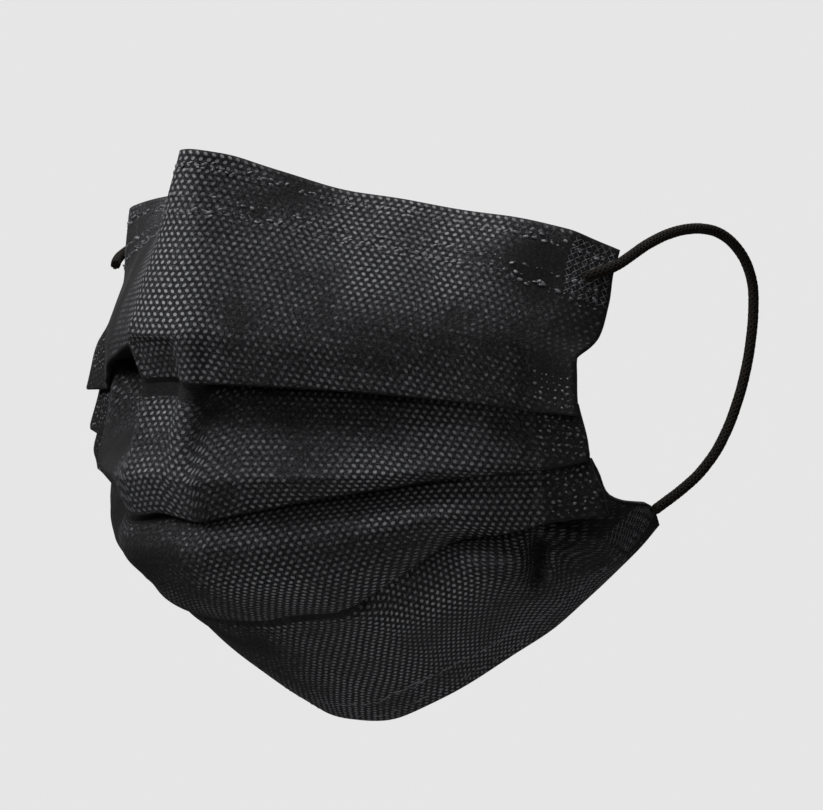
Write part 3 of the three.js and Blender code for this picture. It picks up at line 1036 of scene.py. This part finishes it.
@dataclass(frozen=True)
class PointBondedSpunbond:
    """Black polypropylene spunbond, bonded by a heated engraved roller.

    Fine filaments lie in every direction and scatter light softly. Each bond point is melted flat, so
    it is a small glossy oval that flashes where a light is mirrored. Rows of ovals lean in turn to one
    side and the other.
    """

    web_colour: str = "#101012"
    fleck_colour: str = "#454548"
    dot_colour: str = "#767679"
    pressed_and_shade_colour: str = "#050506"                   # darkest: the pressed side bands, and painted shade on the shaded, napped patches
    pitch: float = 1.6                             # between ovals in a row
    row: float = 1.15                              # between rows
    oval: tuple[float, float] = (0.45, 0.32)       # half axes
    lean: float = 34.0                             # degrees
    dot_edge: tuple[float, float] = (1.08, 0.82)   # from outside to inside, in half axes
    dot_roughness: float = 0.42
    web_roughness: float = 0.95
    cloud_scale: float = 0.07                      # per mm
    cloud_span: tuple[float, float] = (0.38, 0.66)
    cloud_nap_shade: tuple[float, float] = (-0.25, 0.6)  # what the clouds take from the shaded, napped patches or add to them
    crush_scale: float = 0.9                       # per mm
    crush_span: tuple[float, float] = (0.45, 0.65)
    crush_spares: tuple[float, float] = (0.08, 0.95)    # share of an oval left where the cloth is crushed
    bare_nap_shade: tuple[float, float] = (1.0, 1.6)     # the nap at which the last ovals go
    filament_angles: tuple[float, ...] = (0.3, 1.25, 2.3)
    filament_scale: Point = (0.8, 4.6, 1.0)        # per mm, along and across the filaments
    filament_span: tuple[float, float] = (0.55, 0.75)
    filament_lift: float = 0.4                     # against the ovals' depth
    fluff: tuple[float, float] = (0.8, 1.7)        # how much filaments show without nap and with it
    # how far the painted shade of the shaded, napped patches darkens the web
    nap_shade_darkening: float = 0.8
    band_darkening: float = 0.8
    oval_depth: float = 0.00008                    # metres

    def material(self) -> bpy.types.Material:
        """Builds the material, which reads the web's own flat map in mm.

        Returns:
            The material.
        """
        made, tree, shader = start_material("point_bonded_spunbond_black")
        flat = add_node(tree, "ShaderNodeUVMap", uv_map="flat")
        nap_shade = self.uneven_nap_shade(tree, flat)
        band = self.band(tree, flat)
        spared = self.spared(tree, flat, nap_shade, band)
        dots = add_node(tree, "ShaderNodeMath", {0: self.dots(tree, flat), 1: spared}, operation="MULTIPLY")
        flecks = self.flecks(tree, flat)
        fluff = add_node(tree, "ShaderNodeMapRange", {
            "Value": nap_shade, "To Min": self.fluff[0], "To Max": self.fluff[1],
        })
        shown = add_node(tree, "ShaderNodeMath", {0: flecks, 1: fluff}, operation="MULTIPLY")
        # Painted shade: the shaded, napped patches are darkened towards the darkest colour.
        painted_shade = add_node(tree, "ShaderNodeMapRange", {
            "Value": nap_shade, "From Max": NAP_SHADE_RANGE[1], "To Max": self.nap_shade_darkening,
        })
        pressed = add_node(tree, "ShaderNodeMath", {0: band, 1: self.band_darkening}, operation="MULTIPLY")
        dark = add_node(tree, "ShaderNodeMath", {0: pressed, 1: painted_shade}, operation="MAXIMUM")
        colour = linear(self.web_colour)
        for share, other in ((shown, self.fleck_colour), (dots, self.dot_colour), (dark, self.pressed_and_shade_colour)):
            colour = add_node(tree, "ShaderNodeMix", {"Factor": share, "A": colour, "B": linear(other)},
                              data_type="RGBA")
        rough = add_node(tree, "ShaderNodeMapRange", {
            "Value": dots, "To Min": self.web_roughness, "To Max": self.dot_roughness,
        })
        feed(shader, {
            "Base Color": colour, "Roughness": rough, "IOR": 1.49, "Specular IOR Level": 0.3,
            "Normal": self.relief(tree, dots, flecks),
        })
        return made

    def relief(self, tree: bpy.types.NodeTree, dots: Feed, flecks: Feed) -> Node:
        """Presses the bond points in and lets the filaments between them stand out.

        Args:
            tree: The material's tree.
            dots: 1 inside a bond point.
            flecks: 1 on a filament.

        Returns:
            The bumped normal.
        """
        between = add_node(tree, "ShaderNodeMapRange", {"Value": dots, "To Min": 1.0, "To Max": 0.0})
        lift = add_node(tree, "ShaderNodeMath", {0: flecks, 1: self.filament_lift}, operation="MULTIPLY")
        loose = add_node(tree, "ShaderNodeMath", {0: between, 1: lift}, operation="MULTIPLY")
        height = add_node(tree, "ShaderNodeMath", {0: loose, 1: between}, operation="ADD")
        inputs = {"Height": height, "Distance": self.oval_depth, "Strength": 0.6}
        return add_node(tree, "ShaderNodeBump", inputs)

    def uneven_nap_shade(self, tree: bpy.types.NodeTree, flat: Feed) -> Node:
        """Breaks the nap up into uneven patches.

        Args:
            tree: The material's tree.
            flat: The flat map.

        Returns:
            The uneven nap.
        """
        nap_shade = add_node(tree, "ShaderNodeAttribute", attribute_name="nap_shade").outputs["Fac"]
        cloud = add_node(tree, "ShaderNodeTexNoise", {"Vector": flat, "Scale": self.cloud_scale})
        patches = add_node(tree, "ShaderNodeMapRange", {
            "Value": cloud, "From Min": self.cloud_span[0], "From Max": self.cloud_span[1],
            "To Min": self.cloud_nap_shade[0], "To Max": self.cloud_nap_shade[1],
        })
        return add_node(tree, "ShaderNodeMath", {0: nap_shade, 1: patches}, operation="ADD")

    def band(self, tree: bpy.types.NodeTree, flat: Feed) -> Node:
        """Marks the side bands, where the welds have pressed the layers together.

        Args:
            tree: The material's tree.
            flat: The flat map.

        Returns:
            1 inside the bands and 0 outside them.
        """
        parts = add_node(tree, "ShaderNodeSeparateXYZ", {0: flat})
        out = add_node(tree, "ShaderNodeMath", {0: parts}, operation="ABSOLUTE")
        return add_node(tree, "ShaderNodeMapRange", {
            "Value": out, "From Min": BAND_START - 0.4, "From Max": BAND_START + 0.4,
        }, interpolation_type="SMOOTHSTEP")

    def spared(self, tree: bpy.types.NodeTree, flat: Feed, nap_shade: Feed, band: Feed) -> Node:
        """Says how far each bond point shows: whole without nap, in patches under some, not under much.

        Args:
            tree: The material's tree.
            flat: The flat map.
            nap_shade: The uneven nap.
            band: 1 inside the side bands.

        Returns:
            The share that shows.
        """
        hidden = add_node(tree, "ShaderNodeMath", {0: nap_shade, 1: band}, operation="MAXIMUM")
        inputs = {"Vector": flat, "Scale": self.crush_scale, "Detail": 1.0}
        crush = add_node(tree, "ShaderNodeTexNoise", inputs)
        patches = add_node(tree, "ShaderNodeMapRange", {
            "Value": crush, "From Min": self.crush_span[0], "From Max": self.crush_span[1],
            "To Min": self.crush_spares[0], "To Max": self.crush_spares[1],
        })
        some = add_node(tree, "ShaderNodeMapRange", {"Value": hidden, "To Min": 1.0, "To Max": patches})
        last = add_node(tree, "ShaderNodeMapRange", {
            "Value": hidden, "From Min": self.bare_nap_shade[0], "From Max": self.bare_nap_shade[1],
            "To Min": 1.0, "To Max": 0.0,
        })
        return add_node(tree, "ShaderNodeMath", {0: some, 1: last}, operation="MULTIPLY")

    def dots(self, tree: bpy.types.NodeTree, flat: Feed) -> Node:
        """Draws the bond points.

        Args:
            tree: The material's tree.
            flat: The flat map.

        Returns:
            1 inside an oval and 0 outside it.
        """
        parts = add_node(tree, "ShaderNodeSeparateXYZ", {0: flat})
        rows = add_node(tree, "ShaderNodeMath", {0: parts.outputs[1], 1: self.row}, operation="DIVIDE")
        row = add_node(tree, "ShaderNodeMath", {0: rows}, operation="FLOOR")
        odd = add_node(tree, "ShaderNodeMath", {0: row, 1: 2.0}, operation="FLOORED_MODULO")
        columns = add_node(tree, "ShaderNodeMath", {0: parts.outputs[0], 1: self.pitch}, operation="DIVIDE")
        shifted = add_node(tree, "ShaderNodeMath", {0: odd, 1: 0.5, 2: columns}, operation="MULTIPLY_ADD")
        sides = []
        for count, size in ((shifted, self.pitch), (rows, self.row)):
            share = add_node(tree, "ShaderNodeMath", {0: count}, operation="FRACT")
            inputs = {0: share, 1: size, 2: -size / 2}
            sides.append(add_node(tree, "ShaderNodeMath", inputs, operation="MULTIPLY_ADD"))
        place = add_node(tree, "ShaderNodeCombineXYZ", dict(enumerate(sides)))
        lean = math.radians(self.lean)
        angle = add_node(tree, "ShaderNodeMath", {0: odd, 1: 2 * lean, 2: -lean}, operation="MULTIPLY_ADD")
        turned = add_node(tree, "ShaderNodeVectorRotate", {"Vector": place, "Angle": angle},
                          rotation_type="Z_AXIS")
        inputs = {0: turned, 1: (1 / self.oval[0], 1 / self.oval[1], 0.0)}
        shaped = add_node(tree, "ShaderNodeVectorMath", inputs, operation="MULTIPLY")
        far = add_node(tree, "ShaderNodeVectorMath", {0: shaped}, operation="LENGTH")
        return add_node(tree, "ShaderNodeMapRange", {
            "Value": far, "From Min": self.dot_edge[0], "From Max": self.dot_edge[1],
        }, interpolation_type="SMOOTHSTEP")

    def flecks(self, tree: bpy.types.NodeTree, flat: Feed) -> Node:
        """Draws filaments that lie in three directions, drawn about 0.2 mm thick so that they show.

        Args:
            tree: The material's tree.
            flat: The flat map.

        Returns:
            1 on a filament and 0 beside it.
        """
        layers = []
        for angle in self.filament_angles:
            turned = add_node(tree, "ShaderNodeVectorRotate", {"Vector": flat, "Angle": angle},
                              rotation_type="Z_AXIS")
            drawn = add_node(tree, "ShaderNodeVectorMath", {0: turned, 1: self.filament_scale},
                             operation="MULTIPLY")
            noise = add_node(tree, "ShaderNodeTexNoise", {"Vector": drawn, "Scale": 1.0, "Detail": 1.0})
            layers.append(add_node(tree, "ShaderNodeMapRange", {
                "Value": noise, "From Min": self.filament_span[0], "From Max": self.filament_span[1],
            }, interpolation_type="SMOOTHSTEP"))
        top = layers[0]
        for layer in layers[1:]:
            top = add_node(tree, "ShaderNodeMath", {0: top, 1: layer}, operation="MAXIMUM")
        return top


@dataclass(frozen=True)
class MeltedWeld:
    """Spunbond melted through by an ultrasonic horn: smooth, glossy black film that glints, with painted
    glints of lighter grey mixed in.
    """

    colour: str = "#303033"
    painted_glint: str = "#6e6e72"
    glint_and_bump_scale: float = 2500.0     # per metre
    scuff_depth: float = 0.00005    # metres

    def material(self) -> bpy.types.Material:
        """Builds the material.

        Returns:
            The material.
        """
        made, tree, shader = start_material("melted_polypropylene_black")
        place = add_node(tree, "ShaderNodeTexCoord").outputs["Object"]
        noise = add_node(tree, "ShaderNodeTexNoise", {"Vector": place, "Scale": self.glint_and_bump_scale})
        # Painted glints: the noise mixes a lighter grey into the film's colour.
        colour = add_node(tree, "ShaderNodeMix", {
            "Factor": noise, "A": linear(self.colour), "B": linear(self.painted_glint),
        }, data_type="RGBA")
        bump = add_node(tree, "ShaderNodeBump", {"Height": noise, "Distance": self.scuff_depth})
        feed(shader, {"Base Color": colour, "Normal": bump, "Roughness": 0.35, "IOR": 1.49})
        return made


@dataclass(frozen=True)
class ThermalBondedFacing:
    """White skin-side nonwoven, bonded by heat: matt and soft, thin and dense in small patches."""

    thin: str = "#dcdcd8"
    dense: str = "#f2f2ef"
    patch_scale: float = 1.6         # per mm
    patch_depth: float = 0.00008     # metres

    def material(self) -> bpy.types.Material:
        """Builds the material, which reads the web's own flat map in mm.

        Returns:
            The material.
        """
        made, tree, shader = start_material("thermal_bonded_facing_white")
        flat = add_node(tree, "ShaderNodeUVMap", uv_map="flat")
        inputs = {"Vector": flat, "Scale": self.patch_scale, "Detail": 4.0}
        noise = add_node(tree, "ShaderNodeTexNoise", inputs)
        colour = add_node(tree, "ShaderNodeMix", {
            "Factor": noise, "A": linear(self.thin), "B": linear(self.dense),
        }, data_type="RGBA")
        bump = add_node(tree, "ShaderNodeBump", {"Height": noise, "Distance": self.patch_depth})
        feed(shader, {"Base Color": colour, "Normal": bump, "Roughness": 0.85})
        return made


@dataclass(frozen=True)
class KnittedElastic:
    """Round knitted elastic of dyed polyamide over a stretch core: dull, warm black, ribbed by its yarns."""

    colour: str = "#14100a"

    def material(self) -> bpy.types.Material:
        """Builds the material, which is one even colour.

        Returns:
            The material.
        """
        made, _, shader = start_material("knitted_elastic_black")
        feed(shader, {"Base Color": linear(self.colour), "Roughness": 0.9, "Specular IOR Level": 0.25})
        return made


# ------------------------------------------------------------------ pieces

@dataclass(frozen=True)
class Cover:
    """The outer web with its pleats, hems and side bands."""

    name: str = "mask_cover"
    hem_step: float = 0.8       # width over which the wall grows thick at a hem

    def build(self, web: WebSurface, material: bpy.types.Material) -> bpy.types.Object:
        """Builds the web's wall, thicker in the hems and bands, and dresses it.

        Args:
            web: The outer face of the web.
            material: Its material.

        Returns:
            The piece.
        """
        across = np.broadcast_to(web.across, web.down.shape)
        made = add_object(self.name, grid_mesh(self.name, web.points, across, web.down))
        # This attribute carries the painted shade of the shaded, napped patches, which the material darkens.
        layer = made.data.attributes.new("nap_shade", "FLOAT", "POINT")
        layer.data.foreach_set("value", web.nap_shade().astype(np.float32).ravel())
        group = made.vertex_groups.new(name="wall")
        from_side = (HALF_WIDTH - np.abs(across)) * HEM_DEPTH / BAND_WIDTH
        edge = np.minimum(np.minimum(web.down, web.up * HEM_DEPTH / FOOT_DEPTH), from_side)
        wall = WEB_WALL + (HEM_WALL - WEB_WALL) * ease((HEM_DEPTH - edge) / self.hem_step)
        for value in np.unique(np.round(wall, 2)):
            chosen = np.flatnonzero(np.round(wall, 2).ravel() == value)
            group.add(chosen.tolist(), float(value / HEM_WALL), "REPLACE")
        solid = made.modifiers.new("wall", "SOLIDIFY")
        solid.thickness = HEM_WALL * MM
        solid.offset = -1.0
        solid.vertex_group = "wall"
        made.data.materials.append(material)
        frozen_mesh(made)
        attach(made, "root")
        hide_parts("cover")
        return made


@dataclass(frozen=True)
class Facing:
    """The white skin-side web, pleated with the outer web and framed by the hems and bands."""

    name: str = "mask_inner_facing"
    margin: float = 3.5         # kept free beside the side bands
    hem_margin: float = 0.6     # and below and above the hems
    loose: tuple[tuple[Point, float, float, float], ...] = (   # where it hangs free: place, reach, slack
        ((50.5, 43.0, -82.0), 6.0, 8.0, 0.7),
        ((36.0, 26.0, -87.0), 18.0, 7.0, 0.9),
    )

    def build(self, web: WebSurface, material: bpy.types.Material) -> bpy.types.Object:
        """Builds the facing just inside the outer web and dresses it.

        Args:
            web: The outer face of the web.
            material: The facing's material.

        Returns:
            The piece.
        """
        middle = len(web.across) // 2
        keep = np.abs(web.across) < BAND_START - self.margin
        below = web.down[:, middle] > HEM_DEPTH + self.hem_margin
        rows = below & (web.up[:, middle] > FOOT_DEPTH + self.hem_margin)
        slack = sum(amount * nearness(web.points, *reach) for *reach, amount in self.loose)
        points = web.inset(WEB_WALL + FACING_GAP + slack)[rows][:, keep]
        across = np.broadcast_to(web.across, web.down.shape)[rows][:, keep]
        mesh = grid_mesh(self.name, points, across, web.down[rows][:, keep])
        made = add_object(self.name, mesh)
        solid = made.modifiers.new("wall", "SOLIDIFY")
        solid.thickness = FACING_WALL * MM
        solid.offset = -1.0
        made.data.materials.append(material)
        frozen_mesh(made)
        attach(made, "root")
        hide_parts("inner_facing")
        return made


class Side(Enum):
    """The wearer's two sides."""

    LEFT = 1
    RIGHT = -1


@dataclass(frozen=True)
class EarLoop:
    """One knitted ear loop, from the top corner of the mask to its lower corner."""

    side: Side
    diameter: float = 2.2
    yarn: float = 0.5
    yarns: int = 12
    turn_length: float = 7.0
    route: tuple[Point, ...] = (
        (60.2, 43.8, -25.9), (62.9, 47.2, -24.8), (63.9, 51.3, -23.6), (63.9, 56.5, -21.5),
        (64.0, 62.5, -19.6), (64.2, 69.0, -18.2), (64.5, 75.5, -17.7), (65.0, 81.5, -18.1),
        (65.4, 86.5, -19.6), (65.7, 91.0, -22.4), (66.0, 94.2, -26.0), (66.2, 95.8, -30.0),
        (66.2, 96.0, -34.0), (66.2, 95.4, -39.0), (66.0, 94.4, -44.0), (65.7, 93.0, -49.0),
        (65.2, 89.8, -56.0), (64.4, 85.5, -62.5), (63.3, 80.5, -67.0), (62.4, 75.5, -69.8),
        (61.6, 70.5, -71.9), (60.9, 67.0, -73.4),
    )

    def path(self) -> list[Point]:
        """Draws the loop's centre line as a smooth curve through its route.

        Returns:
            The line's points, in metres.
        """
        curve = bpy.data.curves.new("route", "CURVE")
        curve.dimensions = "3D"
        spline = curve.splines.new("NURBS")
        spline.points.add(len(self.route) - 1)
        for point, (x, y, z) in zip(spline.points, self.route):
            point.co = (self.side.value * x * MM, y * MM, z * MM, 1)
        spline.use_endpoint_u = True
        spline.order_u = 4
        curve.resolution_u = 6
        drawn = add_object("route", curve)
        points = [tuple(vertex.co) for vertex in evaluated_mesh(drawn).vertices]
        bpy.data.objects.remove(drawn)
        return points

    def build(self, tree: bpy.types.NodeTree) -> bpy.types.Object:
        """Builds the loop by winding yarns along its route and dresses it.

        Args:
            tree: The tree that winds the yarns.

        Returns:
            The piece.
        """
        name = f"mask_ear_loop_{self.side.name.lower()}"
        path = self.path()
        mesh = bpy.data.meshes.new(name)
        mesh.from_pydata(path, [(i, i + 1) for i in range(len(path) - 1)], [])
        made = add_object(name, mesh)
        grown(made, tree, {
            "Cord radius": self.diameter / 2 * MM, "Yarn radius": self.yarn / 2 * MM,
            "Yarns": self.yarns, "Turn length": self.turn_length * MM,
        })
        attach(made, "root")
        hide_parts(f"ear_loop_{self.side.name.lower()}")
        return made


@dataclass(frozen=True)
class WeldMarks:
    """The ultrasonic weld marks: rows along the hems, a grid on the side bands, hatched loop welds."""

    name: str = "mask_weld_marks"
    hem_rows: tuple[float, ...] = (2.9, 3.7, 9.5, 11.9, 12.8)    # below the top edge
    foot_rows: tuple[float, ...] = (-3.0, -9.2, -9.9)            # negative: above the bottom edge
    hem_pitch: float = 1.5
    hem_margin: float = 1.6                             # kept free at each side edge
    band_pitch: tuple[float, float] = (1.35, 1.3)
    band_margin: float = 1.3                            # kept free at each border of a side band
    band_start: float = 30.0                            # below the top edge
    lip_margins: tuple[float, float] = (1.5, 1.0)       # kept free below a pleat's lip and above the next
    hatch_pitch: float = 1.4
    hatch_margins: tuple[float, float] = (1.4, 0.9)     # kept free at a band's border and its side edge
    hatch_reach: tuple[float, float] = (1.6, 11.5)      # from the top edge, along the side
    foot_reach: tuple[float, float] = (7.0, 21.0)       # from the bottom edge
    seed: int = 7

    def hem(self, panel: int, rows: tuple[float, ...]) -> Marks:
        """Lays out the rows along a hem.

        Args:
            panel: The hem's panel.
            rows: How far down the panel each row lies, or, where negative, up from its last row.

        Returns:
            The marks.
        """
        reach = HALF_WIDTH - self.hem_margin
        across = np.arange(-reach, reach, self.hem_pitch)
        return [(panel, [(float(u), down) for down in rows for u in across], 0.0)]

    def bands(self, web: WebSurface) -> Marks:
        """Lays out the side bands' grids, down to the last pleat.

        Args:
            web: The web.

        Returns:
            The marks of each panel.
        """
        found = []
        column = -4    # a column of the web close to the side edge
        margin = self.band_margin
        for number, (first, last) in enumerate(web.panels[:-1]):
            depth = float(web.down[last, column] - web.down[first, column])
            start = self.band_start if number == 0 else self.lip_margins[0]
            grid = [(side.value * float(u), float(v)) for side in Side
                    for u in np.arange(BAND_START + margin, HALF_WIDTH - margin, self.band_pitch[0])
                    for v in np.arange(start, depth - self.lip_margins[1], self.band_pitch[1])]
            found.append((number, grid, 0.0))
        return found

    def hatches(self) -> Marks:
        """Lays out the hatched patches where the ear loops are welded on.

        Returns:
            The marks of each patch, once for each direction of the hatching.
        """
        found = []
        inner, outer = self.hatch_margins
        for panel, sign, (low, high) in ((0, 1, self.hatch_reach), (len(PANELS) - 1, -1, self.foot_reach)):
            grid = [(side.value * float(u), sign * float(v)) for side in Side
                    for u in np.arange(BAND_START + inner, HALF_WIDTH - outer, self.hatch_pitch)
                    for v in np.arange(low, high, self.hatch_pitch)]
            found += [(panel, grid, 45.0), (panel, grid, -45.0)]
        return found

    def points_mesh(self, web: WebSurface, marks: Marks, stray: float) -> bpy.types.Mesh:
        """Sets the marks' places out on the web.

        Args:
            web: The outer face of the web.
            marks: The marks.
            stray: How far a mark strays from its place, as a standard deviation in mm.

        Returns:
            A mesh of bare points, each with its facing and its heading.
        """
        places, facings, headings = [], [], []
        random = np.random.default_rng(self.seed)
        for panel, flat, degrees in marks:
            flat = [(u + random.normal(0, stray), v + random.normal(0, stray)) for u, v in flat]
            place, normal, across = web.places(flat, panel)
            beside = np.cross(normal, across)
            turn = math.radians(degrees)
            places.append(place)
            facings.append(normal)
            headings.append(across * math.cos(turn) + beside * math.sin(turn))
        mesh = bpy.data.meshes.new(self.name)
        mesh.from_pydata((np.concatenate(places) * MM).tolist(), [], [])
        for label, values in (("facing", facings), ("heading", headings)):
            layer = mesh.attributes.new(label, "FLOAT_VECTOR", "POINT")
            layer.data.foreach_set("vector", np.concatenate(values).astype(np.float32).ravel())
        return mesh

    def build(self, web: WebSurface, tree: bpy.types.NodeTree) -> bpy.types.Object:
        """Builds the marks as one piece and dresses it.

        Args:
            web: The outer face of the web.
            tree: The tree that sets a mark on each point.

        Returns:
            The piece.
        """
        kinds = (
            ("hem", self.hem(0, self.hem_rows), 0.3,
             {"Mark length": 0.0010, "Mark width": 0.0005, "Mark height": 0.00026,
              "Unevenness": 0.7, "Tilt": 0.7, "Seed": 3}),
            ("foot", self.hem(len(PANELS) - 1, self.foot_rows), 0.3,
             {"Mark length": 0.0009, "Mark width": 0.0004, "Mark height": 0.00014,
              "Unevenness": 0.6, "Tilt": 0.2, "Seed": 6}),
            ("band", self.bands(web), 0.2,
             {"Mark length": 0.0006, "Mark width": 0.0004, "Mark height": 0.00026,
              "Unevenness": 0.7, "Tilt": 0.7, "Seed": 4}),
            ("hatch", self.hatches(), 0.03,
             {"Mark length": 0.0021, "Mark width": 0.00016, "Mark height": 0.00016,
              "Unevenness": 0.1, "Tilt": 0.05, "Seed": 5}),
        )
        parts = []
        for label, marks, stray, inputs in kinds:
            part = add_object(f"{self.name}_{label}", self.points_mesh(web, marks, stray))
            parts.append(grown(part, tree, inputs))
        return self.joined(parts)

    def joined(self, parts: list[bpy.types.Object]) -> bpy.types.Object:
        """Joins the kinds of mark into one piece and dresses it.

        Args:
            parts: One object for each kind.

        Returns:
            The piece.
        """
        with bpy.context.temp_override(active_object=parts[0], selected_editable_objects=parts):
            bpy.ops.object.join()
        made = parts[0]
        made.name = self.name
        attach(made, "root")
        return made


# ------------------------------------------------------------------ studio

@dataclass(frozen=True)
class SoftBox:
    """A soft studio light. Angles in degrees round the mask, distance and size in metres."""

    name: str
    azimuth: float
    elevation: float
    distance: float
    size: tuple[float, float]
    radiance: float


SOFT_BOXES: tuple[SoftBox, ...] = (
    SoftBox("left_softbox", -44, 34, 0.9, (0.5, 0.5), 8.6),
    SoftBox("front_softbox", -10, 30, 0.9, (0.5, 0.5), 1.0),
    SoftBox("right_softbox", 50, 16, 0.9, (0.5, 0.5), 1.9),
    SoftBox("top_softbox", 20, 84, 0.9, (0.5, 0.5), 9.5),
    SoftBox("floor_bounce", 30, -75, 0.9, (0.5, 0.5), 3.2),
    SoftBox("back_fill", 200, 35, 1.2, (1.0, 0.8), 2.0),
)


@dataclass(frozen=True)
class Studio:
    """The camera, the lights and the pale sweep round the mask."""

    azimuth: float = 40.0
    elevation: float = 5.49
    roll: float = -1.12
    distance: float = 0.735
    lens: float = 164.1
    sensor: float = 36.0
    target: Point = (0.0, 0.0075, -0.055)
    aim_right: float = 0.0363     # the mask stands left of the middle of the picture, and a little low
    aim_up: float = 0.0047
    sweep_colour: str = "#e6e6e6"
    sweep_radius: float = 3.0
    floor_level: float = -0.45
    world_colour: str = "#1c1c1e"

    @staticmethod
    def toward(azimuth: float, elevation: float) -> Vector:
        """Returns the direction from the mask to a place round it."""
        a, e = math.radians(azimuth), math.radians(elevation)
        return Vector((math.sin(a) * math.cos(e), -math.cos(a) * math.cos(e), math.sin(e)))

    def add_camera(self) -> None:
        """Adds the camera and makes it the scene's."""
        back = self.toward(self.azimuth, self.elevation)
        a, r = math.radians(self.azimuth), math.radians(self.roll)
        level = Vector((math.cos(a), math.sin(a), 0))
        lift = back.cross(level)
        right = level * math.cos(r) + lift * math.sin(r)
        up = lift * math.cos(r) - level * math.sin(r)
        eye = Vector(self.target) + back * self.distance
        ahead = (Vector(self.target) + right * self.aim_right + up * self.aim_up - eye).normalized()
        side = ahead.cross(up).normalized()
        data = bpy.data.cameras.new("camera")
        data.lens = self.lens
        data.sensor_width = self.sensor
        data.clip_start = 0.01
        camera = add_object("camera", data)
        turn = Matrix((side, side.cross(ahead), -ahead)).transposed()
        camera.matrix_world = Matrix.Translation(eye) @ turn.to_4x4()
        bpy.context.scene.camera = camera

    def add_lights(self) -> None:
        """Adds the soft boxes, which light the mask but stay out of the picture, and the dim surround."""
        for box in SOFT_BOXES:
            data = bpy.data.lights.new(box.name, "AREA")
            data.shape = "RECTANGLE"
            data.size, data.size_y = box.size
            data.energy = box.radiance * math.pi * box.size[0] * box.size[1]
            light = add_object(box.name, data)
            away = self.toward(box.azimuth, box.elevation)
            light.location = Vector(self.target) + away * box.distance
            light.rotation_mode = "QUATERNION"
            light.rotation_quaternion = away.to_track_quat("Z", "Y")
            light.visible_camera = False
        world = bpy.data.worlds.new("dim_surround")
        world.use_nodes = True
        feed(world.node_tree.nodes["Background"], {"Color": linear(self.world_colour)})
        bpy.context.scene.world = world

    def add_sweep(self) -> None:
        """Adds the pale floor that curves up into the backdrop, lit evenly and giving no light of its own."""
        profile = [(0.0, 0.0), (self.sweep_radius * 0.7, 0.0)]
        bend = self.sweep_radius * 0.3
        profile += [(self.sweep_radius * 0.7 + bend * math.sin(a), bend * (1 - math.cos(a)))
                    for a in np.linspace(0, math.pi / 2, 9)[1:]]
        profile += [(self.sweep_radius * math.cos(a), bend + self.sweep_radius * math.sin(a))
                    for a in np.linspace(0, math.pi / 2, 13)[1:]]
        turns = 48
        angles = [k / turns * math.tau for k in range(turns)]
        points = [(radius * math.cos(a), radius * math.sin(a), height + self.floor_level)
                  for radius, height in profile for a in angles]
        rings = [(i * turns, (i + 1) * turns) for i in range(len(profile) - 1)]
        faces = [(low + k, high + k, high + (k + 1) % turns, low + (k + 1) % turns)
                 for low, high in rings for k in range(turns)]
        mesh = bpy.data.meshes.new("studio_sweep")
        mesh.from_pydata(points, [], faces)
        mesh.polygons.foreach_set("use_smooth", [True] * len(faces))
        paper, tree, _ = start_material("matt_sweep_paper")
        glow = add_node(tree, "ShaderNodeEmission", {"Color": linear(self.sweep_colour)})
        feed(tree.nodes["Material Output"], {"Surface": glow})
        mesh.materials.append(paper)
        sweep = add_object("studio_sweep", mesh)
        sweep.visible_diffuse = False
        sweep.visible_glossy = False
        sweep.visible_transmission = False
        sweep.visible_shadow = False


def main() -> None:
    """Builds the studio and the mask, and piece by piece."""
    logging.basicConfig(level=logging.INFO, format="%(message)s")
    bpy.context.scene.view_settings.view_transform = "Standard"
    studio = Studio()
    studio.add_camera()
    cord_tree = knitted_cord_tree(KnittedElastic().material())
    pieces = [EarLoop(side).build(cord_tree) for side in Side]
    web = WornWeb().surface()
    pieces.append(Cover().build(web, PointBondedSpunbond().material()))
    pieces.append(WeldMarks().build(web, weld_tree(MeltedWeld().material())))
    pieces.append(Facing().build(web, ThermalBondedFacing().material()))
    studio.add_lights()
    studio.add_sweep()
    for piece in pieces:
        LOG.info("%s: %d faces", piece.name, len(piece.data.polygons))


if __name__ == "__main__":
    main()
